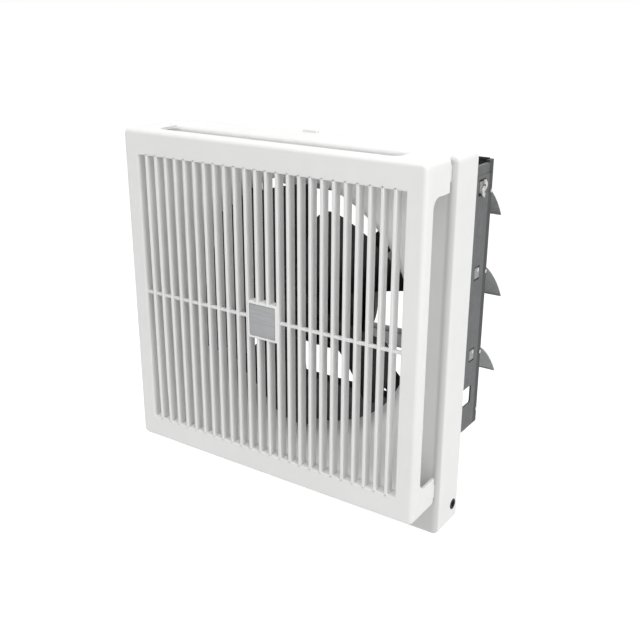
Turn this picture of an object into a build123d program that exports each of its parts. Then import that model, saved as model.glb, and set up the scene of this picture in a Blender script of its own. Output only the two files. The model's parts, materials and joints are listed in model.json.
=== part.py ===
from build123d import *
import math
import os

# Wall ventilating fan with a pull-off grille and a three-blade shutter.
# Millimetres. The origin is on the fan's axis in the wall plane: front is -Y, right is +X, up is +Z.

quarter_turn = 90.0

# Body frame; its margins are counted from the duct's outside
body_side_margin = 31.5
body_top_margin = 30.0
body_foot_margin = 58.0
body_depth = 44.0
body_wall = 2.5
body_edge_radius = 6.0
body_front_radius = 5.5
tab_width = 16.0
tab_depth = 6.0
tab_rise = 2.5
tab_x = -2.5
tab_corner_radius = 1.2

# Bell mouth and propeller
propeller_radius = 125.0
tip_clearance = 9.0
mouth_flare = 14.0
mouth_depth = 22.0
mouth_lip = 2.0
throat_length = 12.0
duct_margin = 12.0
hub_radius = 30.0
hub_length = 28.0
hub_wall = 3.0
hub_boss_radius = 9.0
hub_boss_recess = 4.0
hub_edge = 3.0
propeller_y = -32.5
blade_count = 5
first_blade_angle = 52.0
blade_thickness = 1.8
blade_camber = 4.0
blade_root_angle = 41.0
blade_middle_angle = 27.5
blade_tip_angle = 15.0
blade_root_half_angle = 32.0
blade_tip_half_angle = 27.0
blade_sweep_angle = 20.0
blade_allowance = 10.0
leading_corner_radius = 16.0
trailing_corner_radius = 9.0
nut_radius = 12.0
nut_length = 16.0
nut_wall = 4.0
nut_crown = 8.0
washer_radius = 11.0
washer_thickness = 1.5

# Duct behind the body; places along it are counted from its rear edge
duct_depth = 110.0
duct_sheet = 1.0
duct_flange = 24.0
duct_bead_length = 10.0
duct_bead_rise = 2.5
duct_lip_rise = 5.0
side_plate_sheet = 0.8
side_plate_top_margin = 10.0
side_plate_rear_margin = 2.0
side_plate_front_margin = 6.0
side_slot_rise = 30.0
side_slot_height = 21.0
side_slot_setback = 21.0
side_slot_length = 20.0
side_slot_corner = 2.5
rivet_radius = 2.0
rivet_rise = 0.8
rivet_setback = 4.5
rivet_below_pivot = 6.0
rivet_below_slot = 14.0

# Wall screws
hole_margin = 14.0
hole_radius = 2.6
tower_radius = 8.0
tower_head_radius = 5.2
tower_floor = 6.0

# Grille
grille_inset = 3.5
foot_strip = 35.0
grille_depth = 43.0
grille_above_body = 1.0
grille_gap = 4.0
grille_wall = 2.5
grille_face = 3.0
grille_edge_radius = 4.5
slot_count = 25
slat_width = 3.0
slat_edge_radius = 0.7
slot_side_margin = 19.025
slot_end_margin = 25.75
slat_depth = 9.8
slot_rim = 3.0
rib_height = 3.0
rib_depth = 4.0
rib_recess = 2.0
front_band = 13.0
side_post = 32.0
top_post = 35.0
window_corner_radius = 10.0
emblem_width = 36.0
emblem_height = 38.0
emblem_border = 2.2
emblem_rise = 0.8
emblem_recess = 1.4
emblem_plate_thickness = 1.0
emblem_gap = 0.4
emblem_centre_z = 2.5
peg_inset = 6.0
peg_below_hole = 12.0
peg_thickness = 2.0
peg_width = 8.0
peg_reach = 10.0
peg_root_length = 12.0
peg_clearance = 1.0
foot_length = 14.0
foot_clearance = 0.1
foot_thickness = 1.5

# Shutter
pivot_radius = 2.0
pivot_clearance = 0.06
shutter_rest_angle = 56.0
shutter_sheet = 0.8
shutter_side_gap = 1.0
top_pivot_setback = 24.5
middle_pivot_setback = 23.5
lower_pivot_setback = 23.0
top_pivot_drop = 22.5
middle_pivot_rise = 92.0
lower_pivot_rise = 89.5
top_blade_length = 71.5
middle_blade_length = 91.0
lower_blade_length = 87.5
upper_overlap = 20.0
top_overlap = 16.0
lug_thickness = 1.2
lug_radius = 4.5
lug_reach = 12.0
lug_drop = 12.0
crank_forward = 14.0
crank_drop = 10.0
crank_inset = 18.0
crank_lug_thickness = 1.5
crank_pin_end = 1.5
link_thickness = 2.0
link_width = 8.0
link_gap = 0.35
link_open_clearance = 0.3
link_notch_margin = 3.0
link_notch_floor = 3.0
link_notch_reach = 20.0
sheet_bulge = 0.121
sheet_lip = 3.0
window_width = 12.0
window_height = 15.0
window_forward = 2.5
window_drop = 3.0
top_window_width = 16.0
top_window_height = 17.0
top_window_rise = 1.5
bush_height = 12.0
bush_rise = 0.2
lever_reach = 7.0
lever_offset = 3.5
lever_thickness = 2.0
lever_radius = 2.4
lever_gap = 0.3

# Motor
shaft_radius = 4.0
shaft_clearance = 0.05
shaft_hole_gap = 1.0
shaft_rear_y = 58.0
motor_radius = 52.0
motor_shell = 2.0
motor_corner = 4.0
motor_flange_width = 10.0
motor_flange_margin = 5.0
motor_front_y = -2.0
motor_plate_y = 24.0
motor_rear_y = 52.0
bearing_radius = 11.0
bearing_length = 7.0
bearing_boss_wall = 3.0
stator_front_y = 13.0
stator_rear_y = 37.0
stator_ring_width = 19.6
air_gap = 0.4
stator_slot_count = 12
stator_slot_radius = 4.0
winding_margin = 3.0
winding_length = 7.0
winding_edge_radius = 1.5
motor_screw_radius = 2.0
motor_screw_spare = 3.0
bracket_sheet = 2.0
bracket_arm_width = 24.0
bracket_ring_clearance = 1.0
bracket_leg_clearance = 22.5
bracket_foot_length = 19.0
bracket_foot_y = -8.0
bracket_boss_radius = 6.0

# Small screws
screw_radius = 1.75
screw_head_radius = 3.5
screw_head_height = 2.0
screw_length = 12.0
thread_clearance = 0.05
countersink_height = 1.6
duct_screw_offset = 75.0
duct_boss_radius = 5.0
driver_slot_width = 0.9
driver_slot_depth = 0.8
driver_slot_share = 0.6
countersink_edge = 0.5

# Wiring strip along the body's foot
cord_hole_y = -9.0
cord_radius = 3.2
grommet_wall = 1.8
grommet_flange = 1.6
grommet_flange_thickness = 1.5
grommet_lip = 0.5
terminal_cover_inset = 9.0
terminal_cover_length = 70.0
terminal_cover_top_gap = 3.0
terminal_cover_foot_gap = 4.5
terminal_cover_rear = -1.6
terminal_cover_wall = 1.5
cover_ear = 9.0
cover_ear_thickness = 2.0
clamp_inset = 10.0
clamp_bar_gap = 0.5
clamp_post_radius = 3.0
clamp_rest_width = 4.0
clamp_bar_width = 8.0
clamp_bar_thickness = 1.5
small_screw_radius = 1.2
small_head_radius = 2.4
small_head_height = 1.1
small_screw_length = 7.0
strip_boss_radius = 4.0
strip_boss_height = 10.0
terminal_block_inset = 12.0
terminal_block_length = 36.0
terminal_block_height = 16.0
terminal_block_depth = 12.0
terminal_count = 3
capacitor_x = -50.0
capacitor_length = 38.0
capacitor_height = 22.0
capacitor_depth = 18.0
capacitor_corner_radius = 2.0
strap_width = 10.0
strap_sheet = 0.8
strap_ear = 9.0

# Places that follow from the sizes above
throat_radius = propeller_radius + tip_clearance
mouth_radius = throat_radius + mouth_flare
mouth_rim = mouth_radius + mouth_lip
duct_half = throat_radius + duct_margin
duct_inner = duct_half - duct_sheet
flange_half = duct_half + duct_flange
plate_outer = duct_half + side_plate_sheet
body_half = duct_half + body_side_margin
body_top = duct_half + body_top_margin
body_bottom = -duct_half - body_foot_margin
body_front = -body_depth
plate_back = body_front + body_wall
throat_front_y = body_front + mouth_depth
throat_rear_y = throat_front_y + throat_length
hole_half = duct_half + hole_margin
peg_height = hole_half - peg_below_hole
grille_half = body_half - grille_inset
grille_top = body_top + grille_above_body
grille_bottom = body_bottom + foot_strip
grille_middle = (grille_top + grille_bottom) / 2
grille_height = grille_top - grille_bottom
grille_rear = body_front - grille_gap
grille_front = grille_rear - grille_depth
field_half_width = grille_half - slot_side_margin
field_half_height = grille_height / 2 - slot_end_margin
slot_width = (2 * field_half_width - (slot_count - 1) * slat_width) / slot_count
slot_pitch = slot_width + slat_width
side_slot_low = -duct_half + side_slot_rise
side_slot_high = side_slot_low + side_slot_height
side_slot_rear = duct_depth - side_slot_setback
side_slot_front = side_slot_rear - side_slot_length
rivet_y = duct_depth - rivet_setback
lower_pivot = (duct_depth - lower_pivot_setback, -duct_inner + lower_pivot_rise)
middle_pivot = (duct_depth - middle_pivot_setback, lower_pivot[1] + middle_pivot_rise)
top_pivot = (duct_depth - top_pivot_setback, duct_inner - top_pivot_drop)
blade_half_width = duct_inner - shutter_side_gap
crank_x = -blade_half_width + crank_inset
pivots = {"top": top_pivot, "middle": middle_pivot, "lower": lower_pivot}
blade_lengths = {"top": top_blade_length, "middle": middle_blade_length, "lower": lower_blade_length}
overlaps = {"top": top_overlap, "middle": upper_overlap, "lower": upper_overlap}
window_sizes = {
    "top": (top_window_width, top_window_height),
    "middle": (window_width, window_height),
    "lower": (window_width, window_height),
}
window_centres = {
    "top": (top_pivot[0] - window_forward, top_pivot[1] + top_window_rise),
    "middle": (middle_pivot[0] - window_forward, middle_pivot[1] - window_drop),
    "lower": (lower_pivot[0] - window_forward, lower_pivot[1] - window_drop),
}
bracket_leg_distance = throat_radius + body_wall + bracket_leg_clearance
motor_plate_rear = motor_plate_y + bracket_sheet
stator_outer_radius = motor_radius - motor_shell
stator_inner_radius = stator_outer_radius - stator_ring_width
stator_slot_pitch_radius = (stator_outer_radius + stator_inner_radius) / 2
rotor_radius = stator_inner_radius - air_gap
motor_flange_radius = motor_radius + motor_flange_width
motor_screw_pitch_radius = motor_flange_radius - motor_flange_margin
strip_boss_y = plate_back + strip_boss_height
terminal_cover_right = body_half - body_wall - terminal_cover_inset
terminal_cover_left = terminal_cover_right - terminal_cover_length
terminal_cover_top = -hole_half - tower_radius - terminal_cover_top_gap
terminal_cover_bottom = body_bottom + body_wall + terminal_cover_foot_gap
terminal_block_left = terminal_cover_left + terminal_block_inset
cord_hole_z = (terminal_cover_top + terminal_cover_bottom) / 2
clamp_x = terminal_cover_right - clamp_inset
clamp_bar_half = (terminal_cover_top - terminal_cover_bottom) / 2 - terminal_cover_wall - clamp_bar_gap
clamp_post_offset = clamp_bar_half - clamp_post_radius
clamp_places = [(clamp_x, cord_hole_z - clamp_post_offset), (clamp_x, cord_hole_z + clamp_post_offset)]
cover_ear_x = terminal_cover_left - cover_ear / 2
strap_ear_x = (
    capacitor_x - capacitor_length / 2 - strap_ear / 2,
    capacitor_x + capacitor_length / 2 + strap_ear / 2,
)


def block(x_low, x_high, y_low, y_high, z_low, z_high):
    """A box between two corners."""
    middle = ((x_low + x_high) / 2, (y_low + y_high) / 2, (z_low + z_high) / 2)
    return Pos(*middle) * Box(x_high - x_low, y_high - y_low, z_high - z_low)


def turned(points, x=0.0, z=0.0):
    """A closed outline of (radius, y) points turned about an axis along Y."""
    return Pos(x, 0, z) * revolve(Polygon(*points, align=None), Axis.Y)


def rod_y(radius, y_low, y_high, x=0.0, z=0.0):
    """A round rod along Y."""
    return turned([(0, y_low), (radius, y_low), (radius, y_high), (0, y_high)], x, z)


def tube_y(outer, inner, y_low, y_high, x=0.0, z=0.0):
    """A round tube along Y."""
    return turned([(inner, y_low), (outer, y_low), (outer, y_high), (inner, y_high)], x, z)


def rod_x(radius, x_low, x_high, y, z):
    """A round rod along X."""
    return Pos((x_low + x_high) / 2, y, z) * Rot(0, 90, 0) * Cylinder(radius, x_high - x_low)


def rounded_box(half_width, y_front, y_rear, z_low, z_high, radius):
    """A box with its four edges along Y rounded."""
    shape = block(-half_width, half_width, y_front, y_rear, z_low, z_high)
    return fillet(shape.edges().filter_by(Axis.Y), radius)


def side_sheet(outline, x_low, x_high):
    """A flat piece across X from an outline of (y, z) points."""
    face = Plane.YZ * Polygon(*outline, align=None)
    return Pos(x_low, 0, 0) * extrude(face, x_high - x_low, dir=(1, 0, 0))


def bar_between(start, end, radius, x_low, x_high):
    """A flat bar with round ends across X, between two (y, z) points."""
    length = math.dist(start, end)
    angle = math.degrees(math.atan2(end[1] - start[1], end[0] - start[0]))
    middle = ((start[0] + end[0]) / 2, (start[1] + end[1]) / 2)
    face = Plane.YZ * Pos(*middle) * Rot(0, 0, angle) * SlotCenterToCenter(length, 2 * radius)
    return Pos(x_low, 0, 0) * extrude(face, x_high - x_low)


def screw_y(x, seat, z, way, radius, head_radius, head_height, length):
    """A pan-head screw along Y; way is +1 with the head at the rear and -1 with it at the front."""
    outline = [
        (0, head_height),
        (head_radius, head_height),
        (head_radius, 0),
        (radius, 0),
        (radius, -length),
        (0, -length),
    ]
    screw = revolve(Polygon(*outline, align=None), Axis.Y)
    reach = head_radius * driver_slot_share
    for turn in (0, quarter_turn):
        slot = block(-reach, reach, head_height - driver_slot_depth,
                     head_height, -driver_slot_width / 2, driver_slot_width / 2)
        screw -= Rot(0, turn, 0) * slot
    if way < 0:
        screw = Rot(180, 0, 0) * screw
    return Pos(x, seat, z) * screw


def frame_screw(x, seat, z, way=1):
    """One of the common screws."""
    return screw_y(x, seat, z, way, screw_radius, screw_head_radius, screw_head_height, screw_length)


def small_screw(x, seat, z, way=1):
    """One of the small screws of the wiring strip."""
    return screw_y(x, seat, z, way, small_screw_radius, small_head_radius, small_head_height,
                   small_screw_length)


def boss(x, z, y_end, radius, screw, length):
    """A boss on the back of the body's front plate and the screw hole in its end."""
    post = rod_y(radius, plate_back - body_wall / 2, y_end, x, z)
    hole = rod_y(screw + thread_clearance, y_end - length, y_end + 1, x, z)
    return post, hole


def corner_signs():
    """The four corners, as signs."""
    return [(-1, -1), (-1, 1), (1, -1), (1, 1)]


def duct_screw_places():
    """Where the duct's flange is screwed to the body."""
    places = []
    for sign in (-1, 1):
        for other in (-1, 1):
            places.append((sign * hole_half, other * duct_screw_offset))
            places.append((other * duct_screw_offset, sign * hole_half))
    return places


def bracket_places():
    """Where the motor bracket's feet are screwed to the body."""
    reach = (bracket_leg_distance + bracket_foot_length / 2) / math.sqrt(2)
    return [(a * reach, b * reach) for a, b in corner_signs()]


def countersunk(clearance):
    """The duct screws' shape, with its head flush with the flange's rear face."""
    radius = screw_radius + clearance
    head = screw_head_radius - countersink_edge + clearance
    return [
        (0, 0),
        (head, 0),
        (radius, -countersink_height),
        (radius, -screw_length),
        (0, -screw_length),
    ]


def export(shape, name):
    """Write one node."""
    export_step(shape, f"parts/{name}.step")


def make_bell_mouth():
    """Ring that leads the air into the throat, seated in the body's front plate."""
    with BuildSketch(Plane.XY) as mouth:
        with BuildLine():
            middle = (mouth_radius, throat_front_y)
            inner = EllipticalCenterArc(middle, mouth_flare, mouth_depth, start_angle=2 * quarter_turn,
                                        arc_size=quarter_turn)
            outer = EllipticalCenterArc(middle, mouth_flare - body_wall, mouth_depth - body_wall,
                                        start_angle=2 * quarter_turn, arc_size=quarter_turn)
            Polyline(inner @ 1, (mouth_rim, body_front), (mouth_rim, plate_back), outer @ 1)
            Polyline(inner @ 0, (throat_radius, throat_rear_y),
                     (throat_radius + body_wall, throat_rear_y), outer @ 0)
        make_face()
    return revolve(mouth.sketch, Axis.Y)


def make_body_frame():
    """Plastic frame with the screw towers and the bosses."""
    shell = rounded_box(body_half, body_front, 0, body_bottom, body_top, body_edge_radius)
    shell = fillet(shell.faces().sort_by(Axis.Y)[0].edges(), body_front_radius)
    hollow = rounded_box(body_half - body_wall, plate_back, 1, body_bottom + body_wall,
                         body_top - body_wall, body_edge_radius - body_wall)
    shell -= hollow
    shell -= rod_y(mouth_rim, body_front - 1, plate_back + 1)

    posts = []
    holes = []
    for a, b in corner_signs():
        x, z = a * hole_half, b * hole_half
        posts.append(rod_y(tower_radius, plate_back - body_wall / 2, -duct_sheet, x, z))
        holes.append(rod_y(hole_radius, body_front - 1, 1, x, z))
        holes.append(rod_y(tower_head_radius, body_front - 1, -tower_floor, x, z))
    for x, z in duct_screw_places():
        post, hole = boss(x, z, -duct_sheet, duct_boss_radius, screw_radius, screw_length)
        posts.append(post)
        holes.append(hole)
        holes.append(turned(countersunk(thread_clearance), x, z))
    for x, z in bracket_places():
        post, hole = boss(x, z, bracket_foot_y, bracket_boss_radius, screw_radius, screw_length)
        posts.append(post)
        holes.append(hole)
    for x, z in clamp_places:
        post, hole = boss(x, z, cord_hole_y + cord_radius, clamp_post_radius, small_screw_radius,
                          small_screw_length)
        posts.append(post)
        holes.append(hole)
    strip_screws = [(cover_ear_x, cord_hole_z)]
    strip_screws += [(x, cord_hole_z) for x in strap_ear_x]
    for x, z in strip_screws:
        post, hole = boss(x, z, strip_boss_y, strip_boss_radius, small_screw_radius, small_screw_length)
        posts.append(post)
        holes.append(hole)
    for a, b in corner_signs():
        peg_x = a * (grille_half - peg_inset)
        half = peg_thickness / 2 + peg_clearance
        reach = peg_width / 2 + peg_clearance
        holes.append(block(peg_x - half, peg_x + half, body_front - 1, plate_back + 1,
                           b * peg_height - reach, b * peg_height + reach))
    outer_hole = cord_radius + grommet_wall
    holes.append(rod_x(outer_hole, body_half - body_wall - 1, body_half + 1, cord_hole_y, cord_hole_z))
    for post in posts:
        shell += post
    for hole in holes:
        shell -= hole
    half = clamp_rest_width / 2
    rest = block(clamp_x - half, clamp_x + half, plate_back - body_wall / 2, cord_hole_y - cord_radius,
                 cord_hole_z - clamp_post_offset, cord_hole_z + clamp_post_offset)
    shell += rest
    tab = block(tab_x - tab_width / 2, tab_x + tab_width / 2, -tab_depth, 0,
                body_top - body_wall / 2, body_top + tab_rise)
    shell += fillet(tab.edges().filter_by(Axis.Y).sort_by(Axis.Z)[-2:], tab_corner_radius)
    return shell


def side_windows(x_low, x_high):
    """The openings in the duct's side: one for each bush and the slot below them."""
    cuts = []
    for name, (y, z) in window_centres.items():
        width, height = window_sizes[name]
        cuts.append(block(x_low, x_high, y - width / 2, y + width / 2, z - height / 2, z + height / 2))
    slot = block(x_low, x_high, side_slot_front, side_slot_rear, side_slot_low, side_slot_high)
    cuts.append(fillet(slot.edges().filter_by(Axis.X), side_slot_corner))
    return cuts


def rivet_places():
    """Heights of the rivets down each side plate."""
    heights = [pivot[1] - rivet_below_pivot for pivot in pivots.values()]
    return heights + [side_slot_low - rivet_below_slot]


def make_shutter_duct():
    """Square sheet-metal box with its wall flange."""
    duct = block(-duct_half, duct_half, -duct_sheet, duct_depth, -duct_half, duct_half)
    duct += block(-flange_half, flange_half, -duct_sheet, 0, -flange_half, flange_half)
    duct += block(-duct_half, duct_half, duct_depth - duct_bead_length, duct_depth, duct_half - 1,
                  duct_half + duct_bead_rise)
    duct -= block(-duct_inner, duct_inner, -duct_sheet - 1, duct_depth + 1, -duct_inner, duct_inner)
    duct -= block(-duct_inner, duct_inner, duct_depth - duct_bead_length + duct_sheet, duct_depth + 1,
                  0, duct_half + duct_bead_rise - duct_sheet)
    duct += block(-duct_inner, duct_inner, duct_depth - duct_sheet, duct_depth, -duct_half,
                  -duct_half + duct_lip_rise)
    for a, b in corner_signs():
        duct -= rod_y(hole_radius, -duct_sheet - 1, 1, a * hole_half, b * hole_half)
    for x, z in duct_screw_places():
        duct -= turned(countersunk(thread_clearance), x, z)
    for side in (-1, 1):
        low, high = sorted((side * (duct_inner - 1), side * (duct_half + 1)))
        for cut in side_windows(low, high):
            duct -= cut
        for z in rivet_places():
            duct -= rod_x(rivet_radius / 2, low, high, rivet_y, z)
    return duct


def make_side_plates():
    """A thin plate riveted on each side of the duct."""
    plates = []
    for side in (-1, 1):
        low, high = sorted((side * duct_half, side * plate_outer))
        plate = block(low, high, side_plate_front_margin, duct_depth - side_plate_rear_margin,
                      -duct_half, duct_half - side_plate_top_margin)
        cut_low, cut_high = low - 1, high + 1
        for cut in side_windows(cut_low, cut_high):
            plate -= cut
        for z in rivet_places():
            plate -= rod_x(rivet_radius / 2, cut_low, cut_high, rivet_y, z)
        plates.append(plate)
    return plates


def make_rivets():
    """Rivets that hold the side plates."""
    rivets = []
    for side in (-1, 1):
        for z in rivet_places():
            shank_low, shank_high = sorted((side * duct_inner, side * plate_outer))
            head_low, head_high = sorted((side * plate_outer, side * (plate_outer + rivet_rise)))
            rivet = rod_x(rivet_radius / 2, shank_low, shank_high, rivet_y, z)
            rivet += rod_x(rivet_radius, head_low, head_high, rivet_y, z)
            rivets.append(rivet)
    return rivets


def make_bushes():
    """Plastic bushes clipped across the windows, one for each pivot pin."""
    bushes = []
    for side in (-1, 1):
        low, high = sorted((side * duct_inner, side * (plate_outer + bush_rise)))
        for name, (y, z) in window_centres.items():
            width = window_sizes[name][0]
            bush = block(low, high, y - width / 2, y + width / 2, z - bush_height / 2,
                         z + bush_height / 2)
            bush -= rod_x(pivot_radius + pivot_clearance, low - 1, high + 1, *pivots[name])
            bushes.append(bush)
    return bushes


def at_rest(shape, pivot):
    """Turn a piece made hanging straight down to the rest pose, and set it on its pivot."""
    return Pos(0, pivot[0], pivot[1]) * Rot(shutter_rest_angle, 0, 0) * shape


def crank_point():
    """The crank pin of a hanging blade, as (y, z) from its pivot."""
    angle = math.radians(shutter_rest_angle)
    forward = -crank_forward * math.cos(angle) - crank_drop * math.sin(angle)
    rise = crank_forward * math.sin(angle) - crank_drop * math.cos(angle)
    return forward, rise


def sheet_outline(length, overlap):
    """The hanging blade's curve as (y, z) points from its pivot, top edge first."""
    bulge = sheet_bulge * length
    return [
        (-sheet_lip, overlap),
        (bulge / 2, 0.0),
        (bulge, -length / 4),
        (bulge, -length / 2),
        (bulge * 2 / 3, -length * 3 / 4),
        (0.0, -length),
    ]


def shifted(points, distance):
    """The points moved square to the curve they lie on."""
    moved = []
    for index, (y, z) in enumerate(points):
        before = points[max(index - 1, 0)]
        after = points[min(index + 1, len(points) - 1)]
        step = math.dist(before, after)
        across = (before[1] - after[1]) / step
        along = (after[0] - before[0]) / step
        moved.append((y + distance * across, z + distance * along))
    return moved


def make_shutter_blade(name):
    """A curved sheet with a lug at each end and the crank lug."""
    length = blade_lengths[name]
    points = sheet_outline(length, overlaps[name])
    with BuildSketch() as profile:
        with BuildLine():
            inner = Spline(*points)
            outer = Spline(*shifted(points, shutter_sheet))
            Line(inner @ 0, outer @ 0)
            Line(inner @ 1, outer @ 1)
        make_face()
    sheet = Pos(-blade_half_width, 0, 0) * extrude(Plane.YZ * profile.sketch, 2 * blade_half_width)
    notch_low = crank_x - crank_lug_thickness - link_notch_margin
    notch_high = crank_x + link_gap + link_thickness + 2 * link_notch_margin
    sheet -= block(notch_low, notch_high, -link_notch_reach, link_notch_reach, link_notch_floor,
                   overlaps[name] + link_notch_reach)

    half_sheet = shifted(points, shutter_sheet / 2)
    with BuildSketch() as front_side:
        with BuildLine():
            curve = Spline(*half_sheet)
            Polyline(curve @ 0, (-length, half_sheet[0][1]), (-length, half_sheet[-1][1]), curve @ 1)
        make_face()
    before_sheet = extrude(Plane.YZ * front_side.sketch, 2 * blade_half_width)
    before_sheet = Pos(-blade_half_width, 0, 0) * before_sheet
    for side in (-1, 1):
        low, high = sorted((side * blade_half_width, side * (blade_half_width - lug_thickness)))
        lug = bar_between((0, 0), (lug_reach, -lug_drop), lug_radius, low, high)
        lug -= rod_x(pivot_radius, low - 1, high + 1, 0, 0)
        sheet += lug & before_sheet
    crank = crank_point()
    low, high = crank_x - crank_lug_thickness, crank_x
    crank_lug = bar_between(crank, (lug_reach, -lug_drop), lug_radius, low, high)
    crank_lug -= rod_x(pivot_radius, low - 1, high + 1, *crank)
    sheet += crank_lug & before_sheet
    return at_rest(sheet, pivots[name])


def make_shutter_pins(name):
    """The two pivot pins and the crank pin of one blade."""
    pins = []
    outer = plate_outer + bush_rise
    for side in (-1, 1):
        low, high = sorted((side * (blade_half_width - lug_thickness), side * outer))
        pins.append(rod_x(pivot_radius, low, high, 0, 0))
    crank = crank_point()
    pin_low = crank_x - crank_lug_thickness
    pin_high = crank_x + link_gap + link_thickness + crank_pin_end
    pins.append(rod_x(pivot_radius, pin_low, pin_high, *crank))
    return [at_rest(pin, pivots[name]) for pin in pins]


def make_shutter_lever():
    """S-shaped lever on the right end of the top blade's pin, outside its window."""
    low = plate_outer + bush_rise + lever_gap
    high = low + lever_thickness
    y, z = top_pivot
    lever = rod_x(pivot_radius, plate_outer + bush_rise, low, y, z)
    for way in (-1, 1):
        bend = (y + way * lever_offset, z + way * lever_reach / 2)
        end = (y, z + way * lever_reach)
        lever += bar_between((y, z), bend, lever_radius, low, high)
        lever += bar_between(bend, end, lever_radius, low, high)
    return lever


def make_link_rod():
    """Rod that joins the three crank pins."""
    low = crank_x + link_gap
    high = low + link_thickness
    points = {name: (y - crank_forward, z - crank_drop) for name, (y, z) in pivots.items()}
    rod = bar_between(points["lower"], points["middle"], link_width / 2, low, high)
    rod += bar_between(points["middle"], points["top"], link_width / 2, low, high)
    for name, (y, z) in points.items():
        clearance = pivot_clearance if name == "middle" else link_open_clearance
        rod -= rod_x(pivot_radius + clearance, low - 1, high + 1, y, z)
    return rod


def make_front_grille():
    """Pull-off cover with slats, side windows, the emblem holder, pegs and feet."""
    cover = rounded_box(grille_half, grille_front, grille_rear, grille_bottom, grille_top,
                        grille_edge_radius + 2)
    cover = fillet(cover.faces().sort_by(Axis.Y)[0].edges(), grille_edge_radius)
    cover -= rounded_box(grille_half - grille_wall, grille_front + grille_face, grille_rear + 1,
                         grille_bottom + grille_wall, grille_top - grille_wall, grille_edge_radius)
    low_z = grille_middle - field_half_height
    high_z = grille_middle + field_half_height
    cover += block(-field_half_width - slot_rim, field_half_width + slot_rim, grille_front + 1,
                   grille_front + slat_depth, low_z - slot_rim, high_z + slot_rim)
    cover -= block(-field_half_width, field_half_width, grille_front - 1, grille_front + slat_depth + 1,
                   low_z, high_z)
    window_front = grille_front + front_band
    for a in (-1, 1):
        side = block(grille_half - 2 * grille_wall, grille_half + 1, window_front, grille_rear + 1,
                     grille_bottom + side_post, grille_top - side_post)
        side = fillet(side.edges().filter_by(Axis.X).sort_by(Axis.Y)[:2], window_corner_radius)
        cover -= side if a > 0 else mirror(side, Plane.YZ)
    for z_low, z_high in ((grille_top - 2 * grille_wall, grille_top + 1),
                          (grille_bottom - 1, grille_bottom + 2 * grille_wall)):
        top = block(-grille_half + top_post, grille_half - top_post, window_front, grille_rear + 1,
                    z_low, z_high)
        cover -= fillet(top.edges().filter_by(Axis.Z).sort_by(Axis.Y)[:2], window_corner_radius)

    holder_z_low = emblem_centre_z - emblem_height / 2
    holder_z_high = emblem_centre_z + emblem_height / 2
    slats = []
    for index in range(slot_count - 1):
        x = -field_half_width + slot_width + slat_width / 2 + index * slot_pitch
        slat = block(x - slat_width / 2, x + slat_width / 2, grille_front, grille_front + slat_depth,
                     low_z - slot_rim / 2, high_z + slot_rim / 2)
        slats.append(fillet(slat.edges().filter_by(Axis.Z).sort_by(Axis.Y)[:2], slat_edge_radius))
    rib_front = grille_front + rib_recess
    rib = block(-field_half_width - slot_rim / 2, field_half_width + slot_rim / 2, rib_front,
                rib_front + rib_depth, grille_middle - rib_height / 2, grille_middle + rib_height / 2)
    holder = block(-emblem_width / 2, emblem_width / 2, grille_front - emblem_rise,
                   grille_front + slat_depth, holder_z_low, holder_z_high)
    cover += slats
    cover += rib
    cover += holder
    cover -= block(-emblem_width / 2 + emblem_border, emblem_width / 2 - emblem_border,
                   grille_front - emblem_rise - 1, grille_front - emblem_rise + emblem_recess,
                   holder_z_low + emblem_border, holder_z_high - emblem_border)
    for a, b in corner_signs():
        peg_x = a * (grille_half - peg_inset)
        peg = block(peg_x - peg_thickness / 2, peg_x + peg_thickness / 2, grille_rear - peg_root_length,
                    body_front + peg_reach, b * peg_height - peg_width / 2, b * peg_height + peg_width / 2)
        root_low, root_high = sorted((peg_x, a * (grille_half - grille_wall / 2)))
        peg += block(root_low, root_high, grille_rear - peg_root_length, grille_rear - 2,
                     b * peg_height - peg_width / 2, b * peg_height + peg_width / 2)
        foot_x = a * (grille_half - grille_wall)
        foot_low, foot_high = sorted((foot_x, foot_x + a * foot_thickness))
        foot_z = grille_middle + b * (grille_height / 2 - side_post / 2)
        peg += block(foot_low, foot_high, grille_rear - 2, body_front - foot_clearance,
                     foot_z - foot_length / 2, foot_z + foot_length / 2)
        cover += peg
    return cover


def make_emblem_plate():
    """Bare plate in the grille's holder."""
    inset = emblem_border + emblem_gap
    back = grille_front - emblem_rise + emblem_recess
    return block(-emblem_width / 2 + inset, emblem_width / 2 - inset, back - emblem_plate_thickness, back,
                 emblem_centre_z - emblem_height / 2 + inset, emblem_centre_z + emblem_height / 2 - inset)


def blade_section(distance, slope, half_width, shift):
    """One cambered cross-section of a propeller blade, square to its radius."""
    plane = Plane(origin=(distance, propeller_y, shift), x_dir=(0, 0, 1), z_dir=(1, 0, 0))
    half = blade_thickness / 2
    with BuildSketch() as section:
        with BuildLine():
            low = ThreePointArc((-half_width, -half), (0, blade_camber - half), (half_width, -half))
            high = ThreePointArc((-half_width, half), (0, blade_camber + half), (half_width, half))
            Line(low @ 0, high @ 0)
            Line(low @ 1, high @ 1)
        make_face()
    return plane * Rot(0, 0, slope) * section.sketch


def blade_outline(near, far):
    """A blade's outline seen from the front, swept back towards its tip."""
    edges = []
    for distance, turn, half in ((near, blade_sweep_angle / 2, blade_root_half_angle),
                                 (far, -blade_sweep_angle / 2, blade_tip_half_angle)):
        for side in (-1, 1):
            angle = math.radians(turn + side * half)
            edges.append((distance * math.cos(angle), distance * math.sin(angle)))
    trailing_root, leading_root, trailing_tip, leading_tip = edges
    return Polygon(trailing_root, trailing_tip, (far, 0), leading_tip, leading_root, align=None)


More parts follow.
